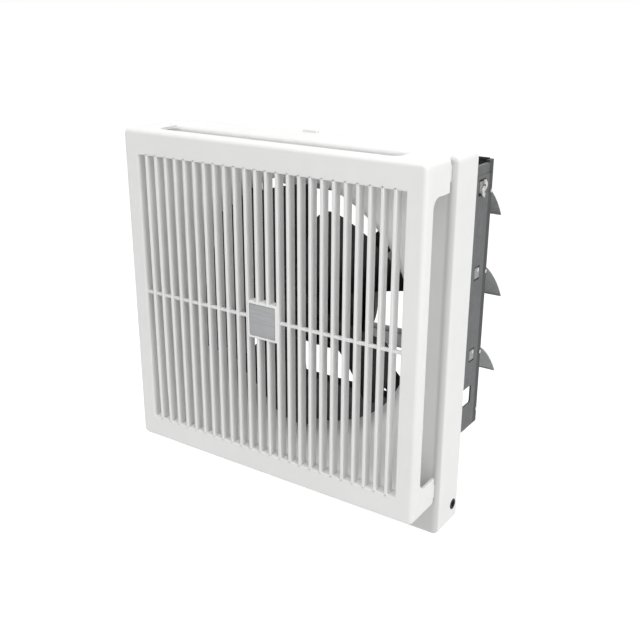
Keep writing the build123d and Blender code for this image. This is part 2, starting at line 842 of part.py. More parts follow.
def make_propeller():
    """Hub with wide twisted blades."""
    near = hub_radius - hub_wall
    far = propeller_radius + blade_allowance
    middle = (near + far) / 2
    half_width = far * math.sin(math.radians(blade_root_half_angle)) + blade_allowance
    sweep = math.tan(math.radians(blade_sweep_angle / 2))
    slab = loft([
        blade_section(near, blade_root_angle, half_width / 2, near * sweep),
        blade_section(middle, blade_middle_angle, half_width * 3 / 4, 0),
        blade_section(far, blade_tip_angle, half_width, -far * sweep),
    ])
    outline = blade_outline(near, far) & Circle(propeller_radius)
    rim = outline.vertices().filter_by(lambda corner: corner.X > middle).sort_by(Axis.Y)
    outline = fillet(rim[0], trailing_corner_radius)
    rim = outline.vertices().filter_by(lambda corner: corner.X > middle).sort_by(Axis.Y)
    outline = fillet(rim[-1], leading_corner_radius)
    blade = slab & extrude(Plane.XZ * outline, propeller_radius, both=True)
    blade -= rod_y(hub_radius - hub_wall / 2, -propeller_radius, propeller_radius)

    front = propeller_y - hub_length / 2
    rear = propeller_y + hub_length / 2
    propeller = turned([
        (shaft_radius, front),
        (hub_radius - hub_edge, front),
        (hub_radius, front + hub_edge),
        (hub_radius, rear),
        (hub_radius - hub_wall, rear),
        (hub_radius - hub_wall, front + hub_wall),
        (hub_boss_radius, front + hub_wall),
        (hub_boss_radius, rear - hub_boss_recess),
        (shaft_radius, rear - hub_boss_recess),
    ])
    for index in range(blade_count):
        propeller += Rot(0, -first_blade_angle - 360 / blade_count * index, 0) * blade
    return propeller


def make_rotor_pieces():
    """Shaft, rotor core, washer and nut."""
    hub_front = propeller_y - hub_length / 2
    nut_rear = hub_front - washer_thickness
    nut_front = nut_rear - nut_length
    shaft = rod_y(shaft_radius, nut_front + nut_wall, shaft_rear_y)
    core = tube_y(rotor_radius, shaft_radius, stator_front_y, stator_rear_y)
    washer = tube_y(washer_radius, shaft_radius, nut_rear, hub_front)
    nut = turned([
        (0, nut_front),
        (nut_radius - nut_crown / 2, nut_front),
        (nut_radius - nut_crown / 8, nut_front + nut_crown / 2),
        (nut_radius, nut_front + nut_crown),
        (nut_radius, nut_rear),
        (shaft_radius, nut_rear),
        (shaft_radius, nut_front + nut_wall),
        (0, nut_front + nut_wall),
    ])
    return shaft, core, washer, nut


def shell_outline(end_y, plate_y):
    """Outline of one motor shell from its bearing end to its flange; both ways round."""
    way = 1 if plate_y > end_y else -1
    inner = stator_outer_radius
    seat_end = end_y - way * (bearing_length - motor_shell)
    boss_radius = bearing_radius + bearing_boss_wall
    cap = seat_end - way * motor_shell
    hole = shaft_radius + shaft_hole_gap
    return [
        (hole, cap),
        (boss_radius, cap),
        (boss_radius, end_y),
        (motor_radius - motor_corner, end_y),
        (motor_radius, end_y + way * motor_corner),
        (motor_radius, plate_y - way * motor_shell),
        (motor_flange_radius, plate_y - way * motor_shell),
        (motor_flange_radius, plate_y),
        (inner, plate_y),
        (inner, end_y + way * motor_shell),
        (bearing_radius, end_y + way * motor_shell),
        (bearing_radius, seat_end),
        (hole, seat_end),
    ]


def motor_screw_places():
    """Where the motor's flanges are screwed to the bracket."""
    places = []
    for index in range(4):
        angle = math.radians(quarter_turn * index)
        reach = motor_screw_pitch_radius
        places.append((reach * math.cos(angle), reach * math.sin(angle)))
    return places


def make_motor_shells():
    """Front and rear shells, clamped on either side of the bracket."""
    front = turned(shell_outline(motor_front_y, motor_plate_y))
    rear = turned(shell_outline(motor_rear_y, motor_plate_rear))
    for x, z in motor_screw_places():
        hole = rod_y(motor_screw_radius + thread_clearance, 0, motor_rear_y, x, z)
        front -= hole
        rear -= hole
    return front, rear


def make_bearings():
    """One bearing in each shell."""
    bearings = []
    front_low = motor_front_y - (bearing_length - motor_shell)
    rear_high = motor_rear_y + (bearing_length - motor_shell)
    for low in (front_low, rear_high - bearing_length):
        bearings.append(tube_y(bearing_radius, shaft_radius + shaft_clearance, low, low + bearing_length))
    return bearings


def make_stator():
    """Laminated core with its winding slots, and the two winding ends."""
    core = tube_y(stator_outer_radius, stator_inner_radius, stator_front_y, stator_rear_y)
    for index in range(stator_slot_count):
        angle = math.radians(360 / stator_slot_count * index)
        x = stator_slot_pitch_radius * math.cos(angle)
        z = stator_slot_pitch_radius * math.sin(angle)
        core -= rod_y(stator_slot_radius, stator_front_y - 1, stator_rear_y + 1, x, z)
    windings = []
    for low in (stator_front_y - winding_length, stator_rear_y):
        ring = tube_y(stator_outer_radius - winding_margin, stator_inner_radius + winding_margin, low,
                      low + winding_length)
        windings.append(fillet(ring.edges(), winding_edge_radius))
    return core, windings


def make_motor_bracket():
    """Ring with four arms, bent forward to feet on the body's bosses."""
    inner = stator_outer_radius + bracket_ring_clearance
    bracket = rod_y(motor_flange_radius, motor_plate_y, motor_plate_rear)
    leg_outer = bracket_leg_distance
    leg_inner = leg_outer - bracket_sheet
    foot_rear = bracket_foot_y + bracket_sheet
    half = bracket_arm_width / 2
    for index in range(4):
        arm = block(inner, leg_outer, motor_plate_y, motor_plate_rear, -half, half)
        arm += block(leg_inner, leg_outer, bracket_foot_y, motor_plate_rear, -half, half)
        arm += block(leg_inner, leg_outer + bracket_foot_length, bracket_foot_y, foot_rear, -half, half)
        hole_x = leg_outer + bracket_foot_length / 2
        arm -= rod_y(screw_radius + thread_clearance, bracket_foot_y - 1, foot_rear + 1, hole_x, 0)
        bracket += Rot(0, quarter_turn * (index + 0.5), 0) * arm
    bracket -= rod_y(inner, motor_plate_y - 1, motor_plate_rear + 1)
    for x, z in motor_screw_places():
        bracket -= rod_y(motor_screw_radius + thread_clearance, motor_plate_y - 1, motor_plate_rear + 1,
                         x, z)
    return bracket


def make_motor_screws():
    """Screws through both motor flanges and the bracket."""
    seat = motor_plate_rear + motor_shell
    length = 2 * motor_shell + bracket_sheet + motor_screw_spare
    return [screw_y(x, seat, z, 1, motor_screw_radius, screw_head_radius, screw_head_height, length)
            for x, z in motor_screw_places()]


def make_bracket_screws():
    """Screws that hold the bracket's feet."""
    return [frame_screw(x, bracket_foot_y + bracket_sheet, z) for x, z in bracket_places()]


def make_duct_screws():
    """Countersunk screws that hold the duct's flange."""
    return [turned(countersunk(0), x, z) for x, z in duct_screw_places()]


def make_cord_grommet():
    """Rubber grommet in the cord inlet."""
    outer = cord_radius + grommet_wall
    inner_x = body_half - body_wall - grommet_flange_thickness
    grommet = rod_x(outer, inner_x, body_half, cord_hole_y, cord_hole_z)
    grommet += rod_x(outer + grommet_flange, inner_x, body_half - body_wall, cord_hole_y, cord_hole_z)
    grommet += rod_x(outer + grommet_lip, body_half, body_half + grommet_lip, cord_hole_y, cord_hole_z)
    return grommet - rod_x(cord_radius, inner_x - 1, body_half + 2, cord_hole_y, cord_hole_z)


def make_terminal_cover():
    """Cover over the terminals, with an ear for its screw."""
    cover = block(terminal_cover_left, terminal_cover_right, plate_back, terminal_cover_rear,
                  terminal_cover_bottom, terminal_cover_top)
    wall = terminal_cover_wall
    cover -= block(terminal_cover_left + wall, terminal_cover_right - wall, plate_back - 1,
                   terminal_cover_rear - wall, terminal_cover_bottom + wall, terminal_cover_top - wall)
    ear_y = strip_boss_y
    ear = block(terminal_cover_left - cover_ear, terminal_cover_left + wall / 2, ear_y,
                ear_y + cover_ear_thickness, cord_hole_z - cover_ear / 2, cord_hole_z + cover_ear / 2)
    cover += ear
    cover -= rod_y(small_screw_radius + thread_clearance, ear_y - 1, ear_y + cover_ear_thickness + 1,
                   cover_ear_x, cord_hole_z)
    cover -= rod_x(cord_radius + 1, terminal_cover_right - 2 * wall, terminal_cover_right + 1,
                   cord_hole_y, cord_hole_z)
    return cover


def make_terminal_block():
    """Terminal block against the front plate, inside the cover."""
    right = terminal_block_left + terminal_block_length
    shape = block(terminal_block_left, right, plate_back, plate_back + terminal_block_depth,
                  cord_hole_z - terminal_block_height / 2, cord_hole_z + terminal_block_height / 2)
    for x in terminal_places():
        shape -= rod_y(small_screw_radius + thread_clearance, plate_back + terminal_block_depth
                       - small_screw_length, plate_back + terminal_block_depth + 1, x, cord_hole_z)
    return shape


def terminal_places():
    """X of each terminal screw."""
    step = terminal_block_length / terminal_count
    return [terminal_block_left + step * (index + 0.5) for index in range(terminal_count)]


def make_terminal_screws():
    """One screw for each terminal."""
    return [small_screw(x, plate_back + terminal_block_depth, cord_hole_z) for x in terminal_places()]


def make_cord_clamp():
    """Bar over the cord, on its two posts."""
    seat = cord_hole_y + cord_radius
    bar = block(clamp_x - clamp_bar_width / 2, clamp_x + clamp_bar_width / 2, seat,
                seat + clamp_bar_thickness, cord_hole_z - clamp_bar_half, cord_hole_z + clamp_bar_half)
    for x, z in clamp_places:
        bar -= rod_y(small_screw_radius + thread_clearance, seat - 1, seat + 3, x, z)
    return bar


def make_clamp_screws():
    """Screws of the cord clamp."""
    seat = cord_hole_y + cord_radius + clamp_bar_thickness
    return [small_screw(x, seat, z) for x, z in clamp_places]


def make_capacitor():
    """Running capacitor, lying against the front plate."""
    shape = block(capacitor_x - capacitor_length / 2, capacitor_x + capacitor_length / 2, plate_back,
                  plate_back + capacitor_depth, cord_hole_z - capacitor_height / 2,
                  cord_hole_z + capacitor_height / 2)
    return fillet(shape.edges().filter_by(Axis.Y), capacitor_corner_radius)


def make_capacitor_strap():
    """Strap over the capacitor, down to a boss on each side."""
    left = capacitor_x - capacitor_length / 2
    right = capacitor_x + capacitor_length / 2
    low = cord_hole_z - strap_width / 2
    high = cord_hole_z + strap_width / 2
    top = plate_back + capacitor_depth
    ear_y = strip_boss_y
    strap = block(left - strap_sheet, right + strap_sheet, top, top + strap_sheet, low, high)
    strap += block(left - strap_sheet, left, ear_y, top, low, high)
    strap += block(right, right + strap_sheet, ear_y, top, low, high)
    strap += block(left - strap_ear, left, ear_y, ear_y + strap_sheet, low, high)
    strap += block(right, right + strap_ear, ear_y, ear_y + strap_sheet, low, high)
    for x in strap_ear_x:
        strap -= rod_y(small_screw_radius + thread_clearance, ear_y - 1, ear_y + 2, x, cord_hole_z)
    return strap


def make_strip_screws():
    """Screws of the capacitor strap and of the terminal cover."""
    ear_y = strip_boss_y
    screws = [small_screw(x, ear_y + strap_sheet, cord_hole_z) for x in strap_ear_x]
    screws.append(small_screw(cover_ear_x, ear_y + cover_ear_thickness, cord_hole_z))
    return screws


def main():
    os.makedirs("parts", exist_ok=True)
    export(make_body_frame(), "body_frame")
    export(make_bell_mouth(), "bell_mouth")
    export(make_shutter_duct(), "shutter_duct")
    export(Compound(children=make_side_plates()), "duct_side_plates")
    export(Compound(children=make_rivets()), "side_plate_rivets")
    export(Compound(children=make_bushes()), "pivot_bushes")
    for name in pivots:
        export(make_shutter_blade(name), f"shutter_blade_{name}")
        export(Compound(children=make_shutter_pins(name)), f"shutter_pins_{name}")
    export(make_shutter_lever(), "shutter_lever")
    export(make_link_rod(), "link_rod")
    export(make_front_grille(), "front_grille")
    export(make_emblem_plate(), "emblem_plate")
    export(make_propeller(), "propeller")
    shaft, core, washer, nut = make_rotor_pieces()
    export(shaft, "motor_shaft")
    export(core, "rotor_core")
    export(washer, "propeller_washer")
    export(nut, "propeller_nut")
    front_shell, rear_shell = make_motor_shells()
    export(front_shell, "motor_front_shell")
    export(rear_shell, "motor_rear_shell")
    export(Compound(children=make_bearings()), "motor_bearings")
    stator_core, windings = make_stator()
    export(stator_core, "stator_core")
    export(Compound(children=windings), "stator_windings")
    export(make_motor_bracket(), "motor_bracket")
    export(Compound(children=make_motor_screws()), "motor_screws")
    export(Compound(children=make_bracket_screws()), "bracket_screws")
    export(Compound(children=make_duct_screws()), "duct_screws")
    export(make_cord_grommet(), "cord_grommet")
    export(make_terminal_cover(), "terminal_cover")
    export(make_terminal_block(), "terminal_block")
    export(Compound(children=make_terminal_screws()), "terminal_screws")
    export(make_cord_clamp(), "cord_clamp")
    export(Compound(children=make_clamp_screws()), "clamp_screws")
    export(make_capacitor(), "capacitor")
    export(make_capacitor_strap(), "capacitor_strap")
    export(Compound(children=make_strip_screws()), "strip_screws")


main()
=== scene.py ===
import json
import math
import bmesh
import bpy
from mathutils import Matrix, Vector


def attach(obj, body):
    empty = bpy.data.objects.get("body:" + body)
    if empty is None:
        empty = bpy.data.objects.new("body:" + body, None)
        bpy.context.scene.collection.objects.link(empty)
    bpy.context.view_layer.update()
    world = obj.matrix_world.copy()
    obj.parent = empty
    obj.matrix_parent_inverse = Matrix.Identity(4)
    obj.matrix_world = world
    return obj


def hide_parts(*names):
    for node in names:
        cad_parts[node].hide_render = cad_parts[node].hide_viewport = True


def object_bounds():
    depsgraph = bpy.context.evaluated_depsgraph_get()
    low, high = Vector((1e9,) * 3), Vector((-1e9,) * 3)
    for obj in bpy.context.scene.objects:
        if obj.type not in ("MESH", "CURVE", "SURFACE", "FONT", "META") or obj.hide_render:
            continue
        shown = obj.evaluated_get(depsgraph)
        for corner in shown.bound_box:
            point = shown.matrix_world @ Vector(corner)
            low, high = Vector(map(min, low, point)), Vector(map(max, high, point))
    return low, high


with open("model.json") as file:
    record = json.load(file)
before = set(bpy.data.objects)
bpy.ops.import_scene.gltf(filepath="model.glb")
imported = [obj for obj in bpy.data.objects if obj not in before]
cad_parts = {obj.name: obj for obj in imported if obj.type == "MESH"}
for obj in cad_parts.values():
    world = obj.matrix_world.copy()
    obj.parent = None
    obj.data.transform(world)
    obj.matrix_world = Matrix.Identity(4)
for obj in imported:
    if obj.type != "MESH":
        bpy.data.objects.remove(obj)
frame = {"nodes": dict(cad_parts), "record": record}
cad_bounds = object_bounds()
nodes = frame["nodes"]
MM = 0.001

# Shared shader effects, as node groups that give only masks and heights


def shader_group(name, output, inputs):
    """A new shader node group with one output; gives the tree, its incoming sockets and its end's socket."""
    tree = bpy.data.node_groups.new(name, "ShaderNodeTree")
    for title, kind, default in inputs:
        socket = tree.interface.new_socket(title, in_out="INPUT", socket_type=kind)
        if default is not None:
            socket.default_value = default
    tree.interface.new_socket(output, in_out="OUTPUT", socket_type="NodeSocketFloat")
    start, end = tree.nodes.new("NodeGroupInput"), tree.nodes.new("NodeGroupOutput")
    return tree, start.outputs, end.inputs[output]


def wire(tree, kind, inputs, **settings):
    """A node in a tree, with its sockets linked or set."""
    made = tree.nodes.new(kind)
    for key, value in settings.items():
        setattr(made, key, value)
    for key, value in inputs.items():
        socket = made.inputs[key]
        if isinstance(value, bpy.types.NodeSocket):
            tree.links.new(value, socket)
        else:
            socket.default_value = value
    return made


def uneven_tone_group():
    """Slow and middling tone changes in one mask."""
    tree, start, end = shader_group("uneven_tone", "Mask", [
        ("Vector", "NodeSocketVector", None), ("Scale", "NodeSocketFloat", 8.0)])
    slow = wire(tree, "ShaderNodeTexNoise", {
        "Vector": start["Vector"], "Scale": start["Scale"], "Detail": 3.0})
    quick_scale = wire(tree, "ShaderNodeMath", {0: start["Scale"], 1: 7.0}, operation="MULTIPLY")
    quick = wire(tree, "ShaderNodeTexNoise", {
        "Vector": start["Vector"], "Scale": quick_scale.outputs[0], "Detail": 4.0})
    both = wire(tree, "ShaderNodeMix", {"Factor": 0.35, "A": slow.outputs["Fac"], "B": quick.outputs["Fac"]})
    tree.links.new(both.outputs["Result"], end)
    return tree


def fine_grain_group():
    """Height of a moulded surface: a fine even grain over faint long waves."""
    tree, start, end = shader_group("fine_grain", "Height", [
        ("Vector", "NodeSocketVector", None), ("Grain", "NodeSocketFloat", 1500.0)])
    cells = wire(tree, "ShaderNodeTexVoronoi", {
        "Vector": start["Vector"], "Scale": start["Grain"], "Randomness": 0.9})
    waves = wire(tree, "ShaderNodeTexNoise", {"Vector": start["Vector"], "Scale": 38.0, "Detail": 2.0})
    total = wire(tree, "ShaderNodeMix", {
        "Factor": 0.7, "A": cells.outputs["Distance"], "B": waves.outputs["Fac"]})
    tree.links.new(total.outputs["Result"], end)
    return tree


def dust_group():
    """Mask of settled dust: it gathers on faces that look up, in soft patches."""
    tree, start, end = shader_group("settled_dust", "Mask", [
        ("Vector", "NodeSocketVector", None), ("Amount", "NodeSocketFloat", 0.2)])
    face = wire(tree, "ShaderNodeNewGeometry", {})
    parts = wire(tree, "ShaderNodeSeparateXYZ", {"Vector": face.outputs["Normal"]})
    up = wire(tree, "ShaderNodeMapRange", {"Value": parts.outputs["Z"], "From Min": 0.1, "From Max": 1.0})
    patches = wire(tree, "ShaderNodeTexNoise", {"Vector": start["Vector"], "Scale": 30.0, "Detail": 5.0})
    spread = wire(tree, "ShaderNodeMapRange", {
        "Value": patches.outputs["Fac"], "From Min": 0.35, "From Max": 0.75})
    both = wire(tree, "ShaderNodeMath", {0: up.outputs["Result"], 1: spread.outputs["Result"]},
                operation="MULTIPLY")
    scaled = wire(tree, "ShaderNodeMath", {0: both.outputs[0], 1: start["Amount"]}, operation="MULTIPLY")
    tree.links.new(scaled.outputs[0], end)
    return tree


def rolled_lines_group():
    """Faint parallel lines with breaks in them, along the direction that is stretched."""
    tree, start, end = shader_group("rolled_lines", "Height", [
        ("Vector", "NodeSocketVector", None), ("Stretch", "NodeSocketVector", (1.0, 1.0, 1.0)),
        ("Scale", "NodeSocketFloat", 60.0)])
    mapping = wire(tree, "ShaderNodeMapping", {"Vector": start["Vector"], "Scale": start["Stretch"]})
    lines = wire(tree, "ShaderNodeTexNoise", {
        "Vector": mapping.outputs["Vector"], "Scale": start["Scale"], "Detail": 6.0, "Roughness": 0.62})
    tree.links.new(lines.outputs["Fac"], end)
    return tree


def band_group():
    """Mask of the places where one coordinate lies between two values, with soft ends."""
    tree, start, end = shader_group("soft_band", "Mask", [
        ("Value", "NodeSocketFloat", 0.0), ("Low", "NodeSocketFloat", 0.0), ("High", "NodeSocketFloat", 1.0),
        ("Soft", "NodeSocketFloat", 0.001)])
    below = wire(tree, "ShaderNodeMath", {0: start["Low"], 1: start["Soft"]}, operation="SUBTRACT")
    above = wire(tree, "ShaderNodeMath", {0: start["High"], 1: start["Soft"]}, operation="ADD")
    rise = wire(tree, "ShaderNodeMapRange", {
        "Value": start["Value"], "From Min": below.outputs[0], "From Max": start["Low"]})
    fall = wire(tree, "ShaderNodeMapRange", {
        "Value": start["Value"], "From Min": above.outputs[0], "From Max": start["High"]})
    both = wire(tree, "ShaderNodeMath", {0: rise.outputs["Result"], 1: fall.outputs["Result"]},
                operation="MULTIPLY")
    tree.links.new(both.outputs[0], end)
    return tree


uneven_tone = uneven_tone_group()
soft_band = band_group()
fine_grain = fine_grain_group()
settled_dust = dust_group()
rolled_lines = rolled_lines_group()


class Shader:
    """A material's node tree, with short calls for the nodes that the finishes share."""

    def __init__(self, name):
        self.material = bpy.data.materials.new(name)
        self.material.use_nodes = True
        self.tree = self.material.node_tree
        self.principled = self.tree.nodes["Principled BSDF"]
        self.place = self.tree.nodes.new("ShaderNodeTexCoord").outputs["Object"]

    def node(self, kind, inputs=None, **settings):
        """A node of this material, with its sockets linked or set."""
        return wire(self.tree, kind, inputs or {}, **settings)

    def group(self, tree, **inputs):
        """A shared effect; those with a Vector input read the object's own coordinates."""
        if "Value" not in inputs:
            inputs["Vector"] = self.place
        return self.node("ShaderNodeGroup", inputs, node_tree=tree).outputs[0]

    def band(self, axis, low, high, soft):
        """Mask of the places between two values of one coordinate."""
        parts = self.node("ShaderNodeSeparateXYZ", {"Vector": self.place})
        return self.group(soft_band, Value=parts.outputs[axis], Low=low, High=high, Soft=soft)

    def product(self, first, second):
        """Two masks multiplied."""
        return self.node("ShaderNodeMath", {0: first, 1: second}, operation="MULTIPLY").outputs[0]

    def ramp(self, factor, stops):
        """Colours along a mask, from (position, colour) stops."""
        made = self.node("ShaderNodeValToRGB", {"Fac": factor})
        elements = made.color_ramp.elements
        while len(elements) < len(stops):
            elements.new(0.5)
        for element, (position, colour) in zip(elements, stops):
            element.position = position
            element.color = (*colour[:3], 1)
        return made.outputs["Color"]

    def span(self, factor, low, high):
        """A mask spread between two values."""
        made = self.node("ShaderNodeMapRange", {"Value": factor, "To Min": low, "To Max": high})
        return made.outputs["Result"]

    def over(self, mask, under, colour):
        """A colour laid over another where the mask is high; inputs 6 and 7 are the two colours."""
        made = self.node("ShaderNodeMix", {0: mask, 6: under, 7: (*colour, 1)}, data_type="RGBA")
        return made.outputs[2]

    def bump(self, height, strength, distance, under=None):
        """A normal from a height, on top of another normal where one is given."""
        inputs = {"Height": height, "Strength": strength, "Distance": distance}
        if under is not None:
            inputs["Normal"] = under
        return self.node("ShaderNodeBump", inputs).outputs["Normal"]

    def finish(self, **values):
        """Set or link the shader's own sockets and give the material."""
        for key, value in values.items():
            socket = self.principled.inputs[key.replace("_", " ")]
            if isinstance(value, bpy.types.NodeSocket):
                self.tree.links.new(value, socket)
            else:
                socket.default_value = value
        return self.material


def near(colour, share):
    """The colour made lighter or darker by a share."""
    return tuple(min(1.0, part * share) for part in colour)


# Finishes; lengths in them are in metres

# Where the painted shade on the body's front lies: a band in Y, outside the cover's sides in X and Z
body_front = (-0.0445, -0.0415)
cover_across = (-0.1690, 0.1690)
cover_upright = (-0.1650, 0.2000)


def moulded_plastic(name, colour, roughness=0.42, grain=0.00005, dust=0.0, dust_colour=(0.55, 0.54, 0.51),
                    rim_shade_colour=None):
    """Moulded plastic: a fine grain, slow tone changes, slightly uneven gloss and a little dust on top.

    The optional rim colour is painted shade: the body's front outside the cover is darkened as if the cover
    shaded it.
    """
    shader = Shader(name)
    tone_mask = shader.group(uneven_tone, Scale=6.0)
    tone = shader.ramp(tone_mask, [(0.32, near(colour, 0.96)), (0.68, near(colour, 1.02))])
    if dust > 0:
        tone = shader.over(shader.group(settled_dust, Amount=dust), tone, dust_colour)
    # Painted shade: the body's front round the cover is darkened where the cover's shadow falls
    if rim_shade_colour:
        front = shader.band("Y", *body_front, 0.0020)
        across = shader.band("X", *cover_across, 0.0030)
        behind = shader.product(across, shader.band("Z", *cover_upright, 0.0030))
        outside = shader.node("ShaderNodeMath", {0: 1.0, 1: behind}, operation="SUBTRACT")
        tone = shader.over(shader.product(front, outside.outputs[0]), tone, rim_shade_colour)
    normal = shader.bump(shader.group(fine_grain, Grain=1400.0), 0.35, grain)
    gloss = shader.group(uneven_tone, Scale=24.0)
    return shader.finish(
        Base_Color=tone, Roughness=shader.span(gloss, roughness - 0.08, roughness + 0.1), Normal=normal,
        Specular_IOR_Level=0.45)


def zinc_sheet(name, dark, light, roughness, metallic, stretch=(1.0, 1.0, 0.04), dark_bands=()):
    """Zinc-coated sheet: crystals in different greys, rolling lines, dust on top and darker bands along given
    coordinate ranges.
    """
    shader = Shader(name)
    crystals = shader.node("ShaderNodeTexVoronoi", {
        "Vector": shader.place, "Scale": 170.0, "Randomness": 1.0})
    spread = shader.node("ShaderNodeSeparateColor", {"Color": crystals.outputs["Color"]}).outputs["Red"]
    lines = shader.group(rolled_lines, Stretch=stretch, Scale=90.0)
    cloud = shader.group(uneven_tone, Scale=12.0)
    blend = shader.node("ShaderNodeMix", {"Factor": 0.4, "A": cloud, "B": lines}).outputs["Result"]
    both = shader.node("ShaderNodeMix", {"Factor": 0.22, "A": blend, "B": spread}).outputs["Result"]
    tone = shader.ramp(both, [(0.3, dark), (0.7, light)])
    tone = shader.over(shader.group(settled_dust, Amount=0.35), tone, (0.30, 0.29, 0.27))
    # Darker bands where one coordinate lies in a given range
    for axis, low, high, soft in dark_bands:
        tone = shader.over(shader.band(axis, low, high, soft), tone, near(dark, 0.45))
    normal = shader.bump(lines, 0.2, 0.00012)
    normal = shader.bump(spread, 0.18, 0.00004, normal)
    return shader.finish(
        Base_Color=tone, Metallic=metallic, Roughness=shader.span(both, roughness - 0.1, roughness + 0.14),
        Normal=normal)


def bare_metal(name, colour, roughness=0.3):
    """Plated or turned metal with fine scratches."""
    shader = Shader(name)
    scratches = shader.group(rolled_lines, Scale=420.0)
    tone = shader.ramp(scratches, [(0.3, near(colour, 0.82)), (0.7, near(colour, 1.08))])
    return shader.finish(
        Base_Color=tone, Metallic=1.0, Normal=shader.bump(scratches, 0.15, 0.00004),
        Roughness=shader.span(scratches, roughness - 0.08, roughness + 0.12))


def painted_metal(name, colour, roughness=0.4):
    """Sprayed paint with orange peel and a little dust on top."""
    shader = Shader(name)
    peel = shader.node("ShaderNodeTexNoise", {"Vector": shader.place, "Scale": 330.0, "Detail": 2.0})
    slow = shader.group(uneven_tone, Scale=18.0)
    tone = shader.ramp(slow, [(0.3, near(colour, 0.8)), (0.7, near(colour, 1.2))])
    tone = shader.over(shader.group(settled_dust, Amount=0.3), tone, (0.10, 0.097, 0.09))
    return shader.finish(
        Base_Color=tone, Roughness=shader.span(slow, roughness - 0.06, roughness + 0.1),
        Normal=shader.bump(peel.outputs["Fac"], 0.25, 0.0001))


def stacked_steel(name, colour):
    """Motor laminations: thin lines along the stack."""
    shader = Shader(name)
    layers = shader.node("ShaderNodeTexWave", {"Vector": shader.place, "Scale": 300.0, "Distortion": 0.4},
                         wave_type="BANDS", bands_direction="Y").outputs["Fac"]
    tone = shader.ramp(layers, [(0.2, near(colour, 0.6)), (0.8, near(colour, 1.1))])
    rust = shader.group(uneven_tone, Scale=40.0)
    return shader.finish(Base_Color=tone, Metallic=0.8, Roughness=shader.span(rust, 0.35, 0.6),
                         Normal=shader.bump(layers, 0.4, 0.0001))


def wound_wire(name, colour):
    """Enamelled wire lying in rings round the axis."""
    shader = Shader(name)
    turns = shader.node("ShaderNodeTexWave", {"Vector": shader.place, "Scale": 180.0, "Distortion": 1.2},
                        wave_type="RINGS", rings_direction="Y").outputs["Fac"]
    tone = shader.ramp(turns, [(0.2, near(colour, 0.5)), (0.8, near(colour, 1.1))])
    return shader.finish(Base_Color=tone, Metallic=0.6, Roughness=shader.span(turns, 0.3, 0.5),
                         Normal=shader.bump(turns, 0.6, 0.0003))


def pressed_felt(name, colour):
    """Felt strip: short matted fibres, no gloss."""
    shader = Shader(name)
    fibres = shader.group(rolled_lines, Stretch=(1.0, 0.35, 1.0), Scale=900.0)
    tone = shader.ramp(fibres, [(0.3, near(colour, 0.6)), (0.75, near(colour, 1.8))])
    return shader.finish(Base_Color=tone, Roughness=0.95, Specular_IOR_Level=0.1,
                         Normal=shader.bump(fibres, 0.7, 0.0004))


def brushed_plate(name, dark, light):
    """Anodised plate with brushing across it and a slow change of tone."""
    shader = Shader(name)
    lines = shader.group(rolled_lines, Stretch=(0.03, 1.0, 1.0), Scale=900.0)
    slow = shader.group(uneven_tone, Scale=20.0)
    both = shader.node("ShaderNodeMix", {"Factor": 0.6, "A": slow, "B": lines}).outputs["Result"]
    tone = shader.ramp(both, [(0.3, dark), (0.7, light)])
    return shader.finish(Base_Color=tone, Metallic=0.35, Roughness=shader.span(lines, 0.35, 0.5),
                         Normal=shader.bump(lines, 0.25, 0.00004))


finishes = {
    # The body's plastic has painted shade on its front round the cover
    "white_plastic": moulded_plastic("white_plastic", (0.735, 0.735, 0.73), 0.45, dust=0.06,
                                     rim_shade_colour=(0.54, 0.54, 0.535)),
    "grille_plastic": moulded_plastic("grille_plastic", (0.745, 0.745, 0.74), 0.42, dust=0.05),
    "emblem_plate": brushed_plate("emblem_plate", (0.30, 0.305, 0.31), (0.42, 0.425, 0.43)),
    # The duct is darker in a band from y 100 to 108 mm
    "duct_sheet": zinc_sheet("duct_sheet", (0.080, 0.082, 0.084), (0.130, 0.133, 0.136), 0.55, 0.15,
                             dark_bands=(("Y", 0.1000, 0.1078, 0.0008),)),
    "shutter_sheet": zinc_sheet("shutter_sheet", (0.26, 0.263, 0.267), (0.38, 0.385, 0.39), 0.5, 0.25,
                                stretch=(0.04, 1.0, 1.0)),
    "bright_steel": bare_metal("bright_steel", (0.62, 0.62, 0.63)),
    "bush_plastic": moulded_plastic("bush_plastic", (0.27, 0.27, 0.265), 0.5),
    "propeller_plastic": moulded_plastic("propeller_plastic", (0.005, 0.005, 0.0055), 0.46, dust=0.2,
                                         dust_colour=(0.03, 0.029, 0.027)),
    "motor_paint": painted_metal("motor_paint", (0.014, 0.014, 0.015)),
    "core_steel": stacked_steel("core_steel", (0.35, 0.35, 0.36)),
    "copper_winding": wound_wire("copper_winding", (0.60, 0.24, 0.09)),
    "black_plastic": moulded_plastic("black_plastic", (0.018, 0.018, 0.018), 0.5, dust=0.2,
                                     dust_colour=(0.08, 0.078, 0.073)),
    "grey_plastic": moulded_plastic("grey_plastic", (0.55, 0.55, 0.54), 0.5, dust=0.15),
    "black_rubber": moulded_plastic("black_rubber", (0.012, 0.012, 0.012), 0.75, 0.0001),
    "brass_screw": bare_metal("brass_screw", (0.70, 0.52, 0.22)),
}
lever_plastic = moulded_plastic("lever_plastic", (0.58, 0.58, 0.56), 0.45)
felt = pressed_felt("black_felt", (0.010, 0.010, 0.010))
for part in frame["record"]["subparts"]:
    for place in nodes[part["node"]].material_slots:
        place.material = finishes[part["material_slot"]]

# Mesh helpers; from here on, lengths are in millimetres


def add_object(name, data):
    """A new object in the scene."""
    made = bpy.data.objects.new(name, data)
    bpy.context.scene.collection.objects.link(made)
    return made


def new_piece(name, builder, body, slot, material, smooth):
    """A piece from a bmesh in metres; it remembers its body and slot until settle."""
    mesh = bpy.data.meshes.new(name)
    builder.to_mesh(mesh)
    builder.free()
    mesh.materials.append(material or finishes[slot])
    shade(mesh, smooth)
    made = add_object(name, mesh)
    made["body"], made["slot"] = body, slot
    return made


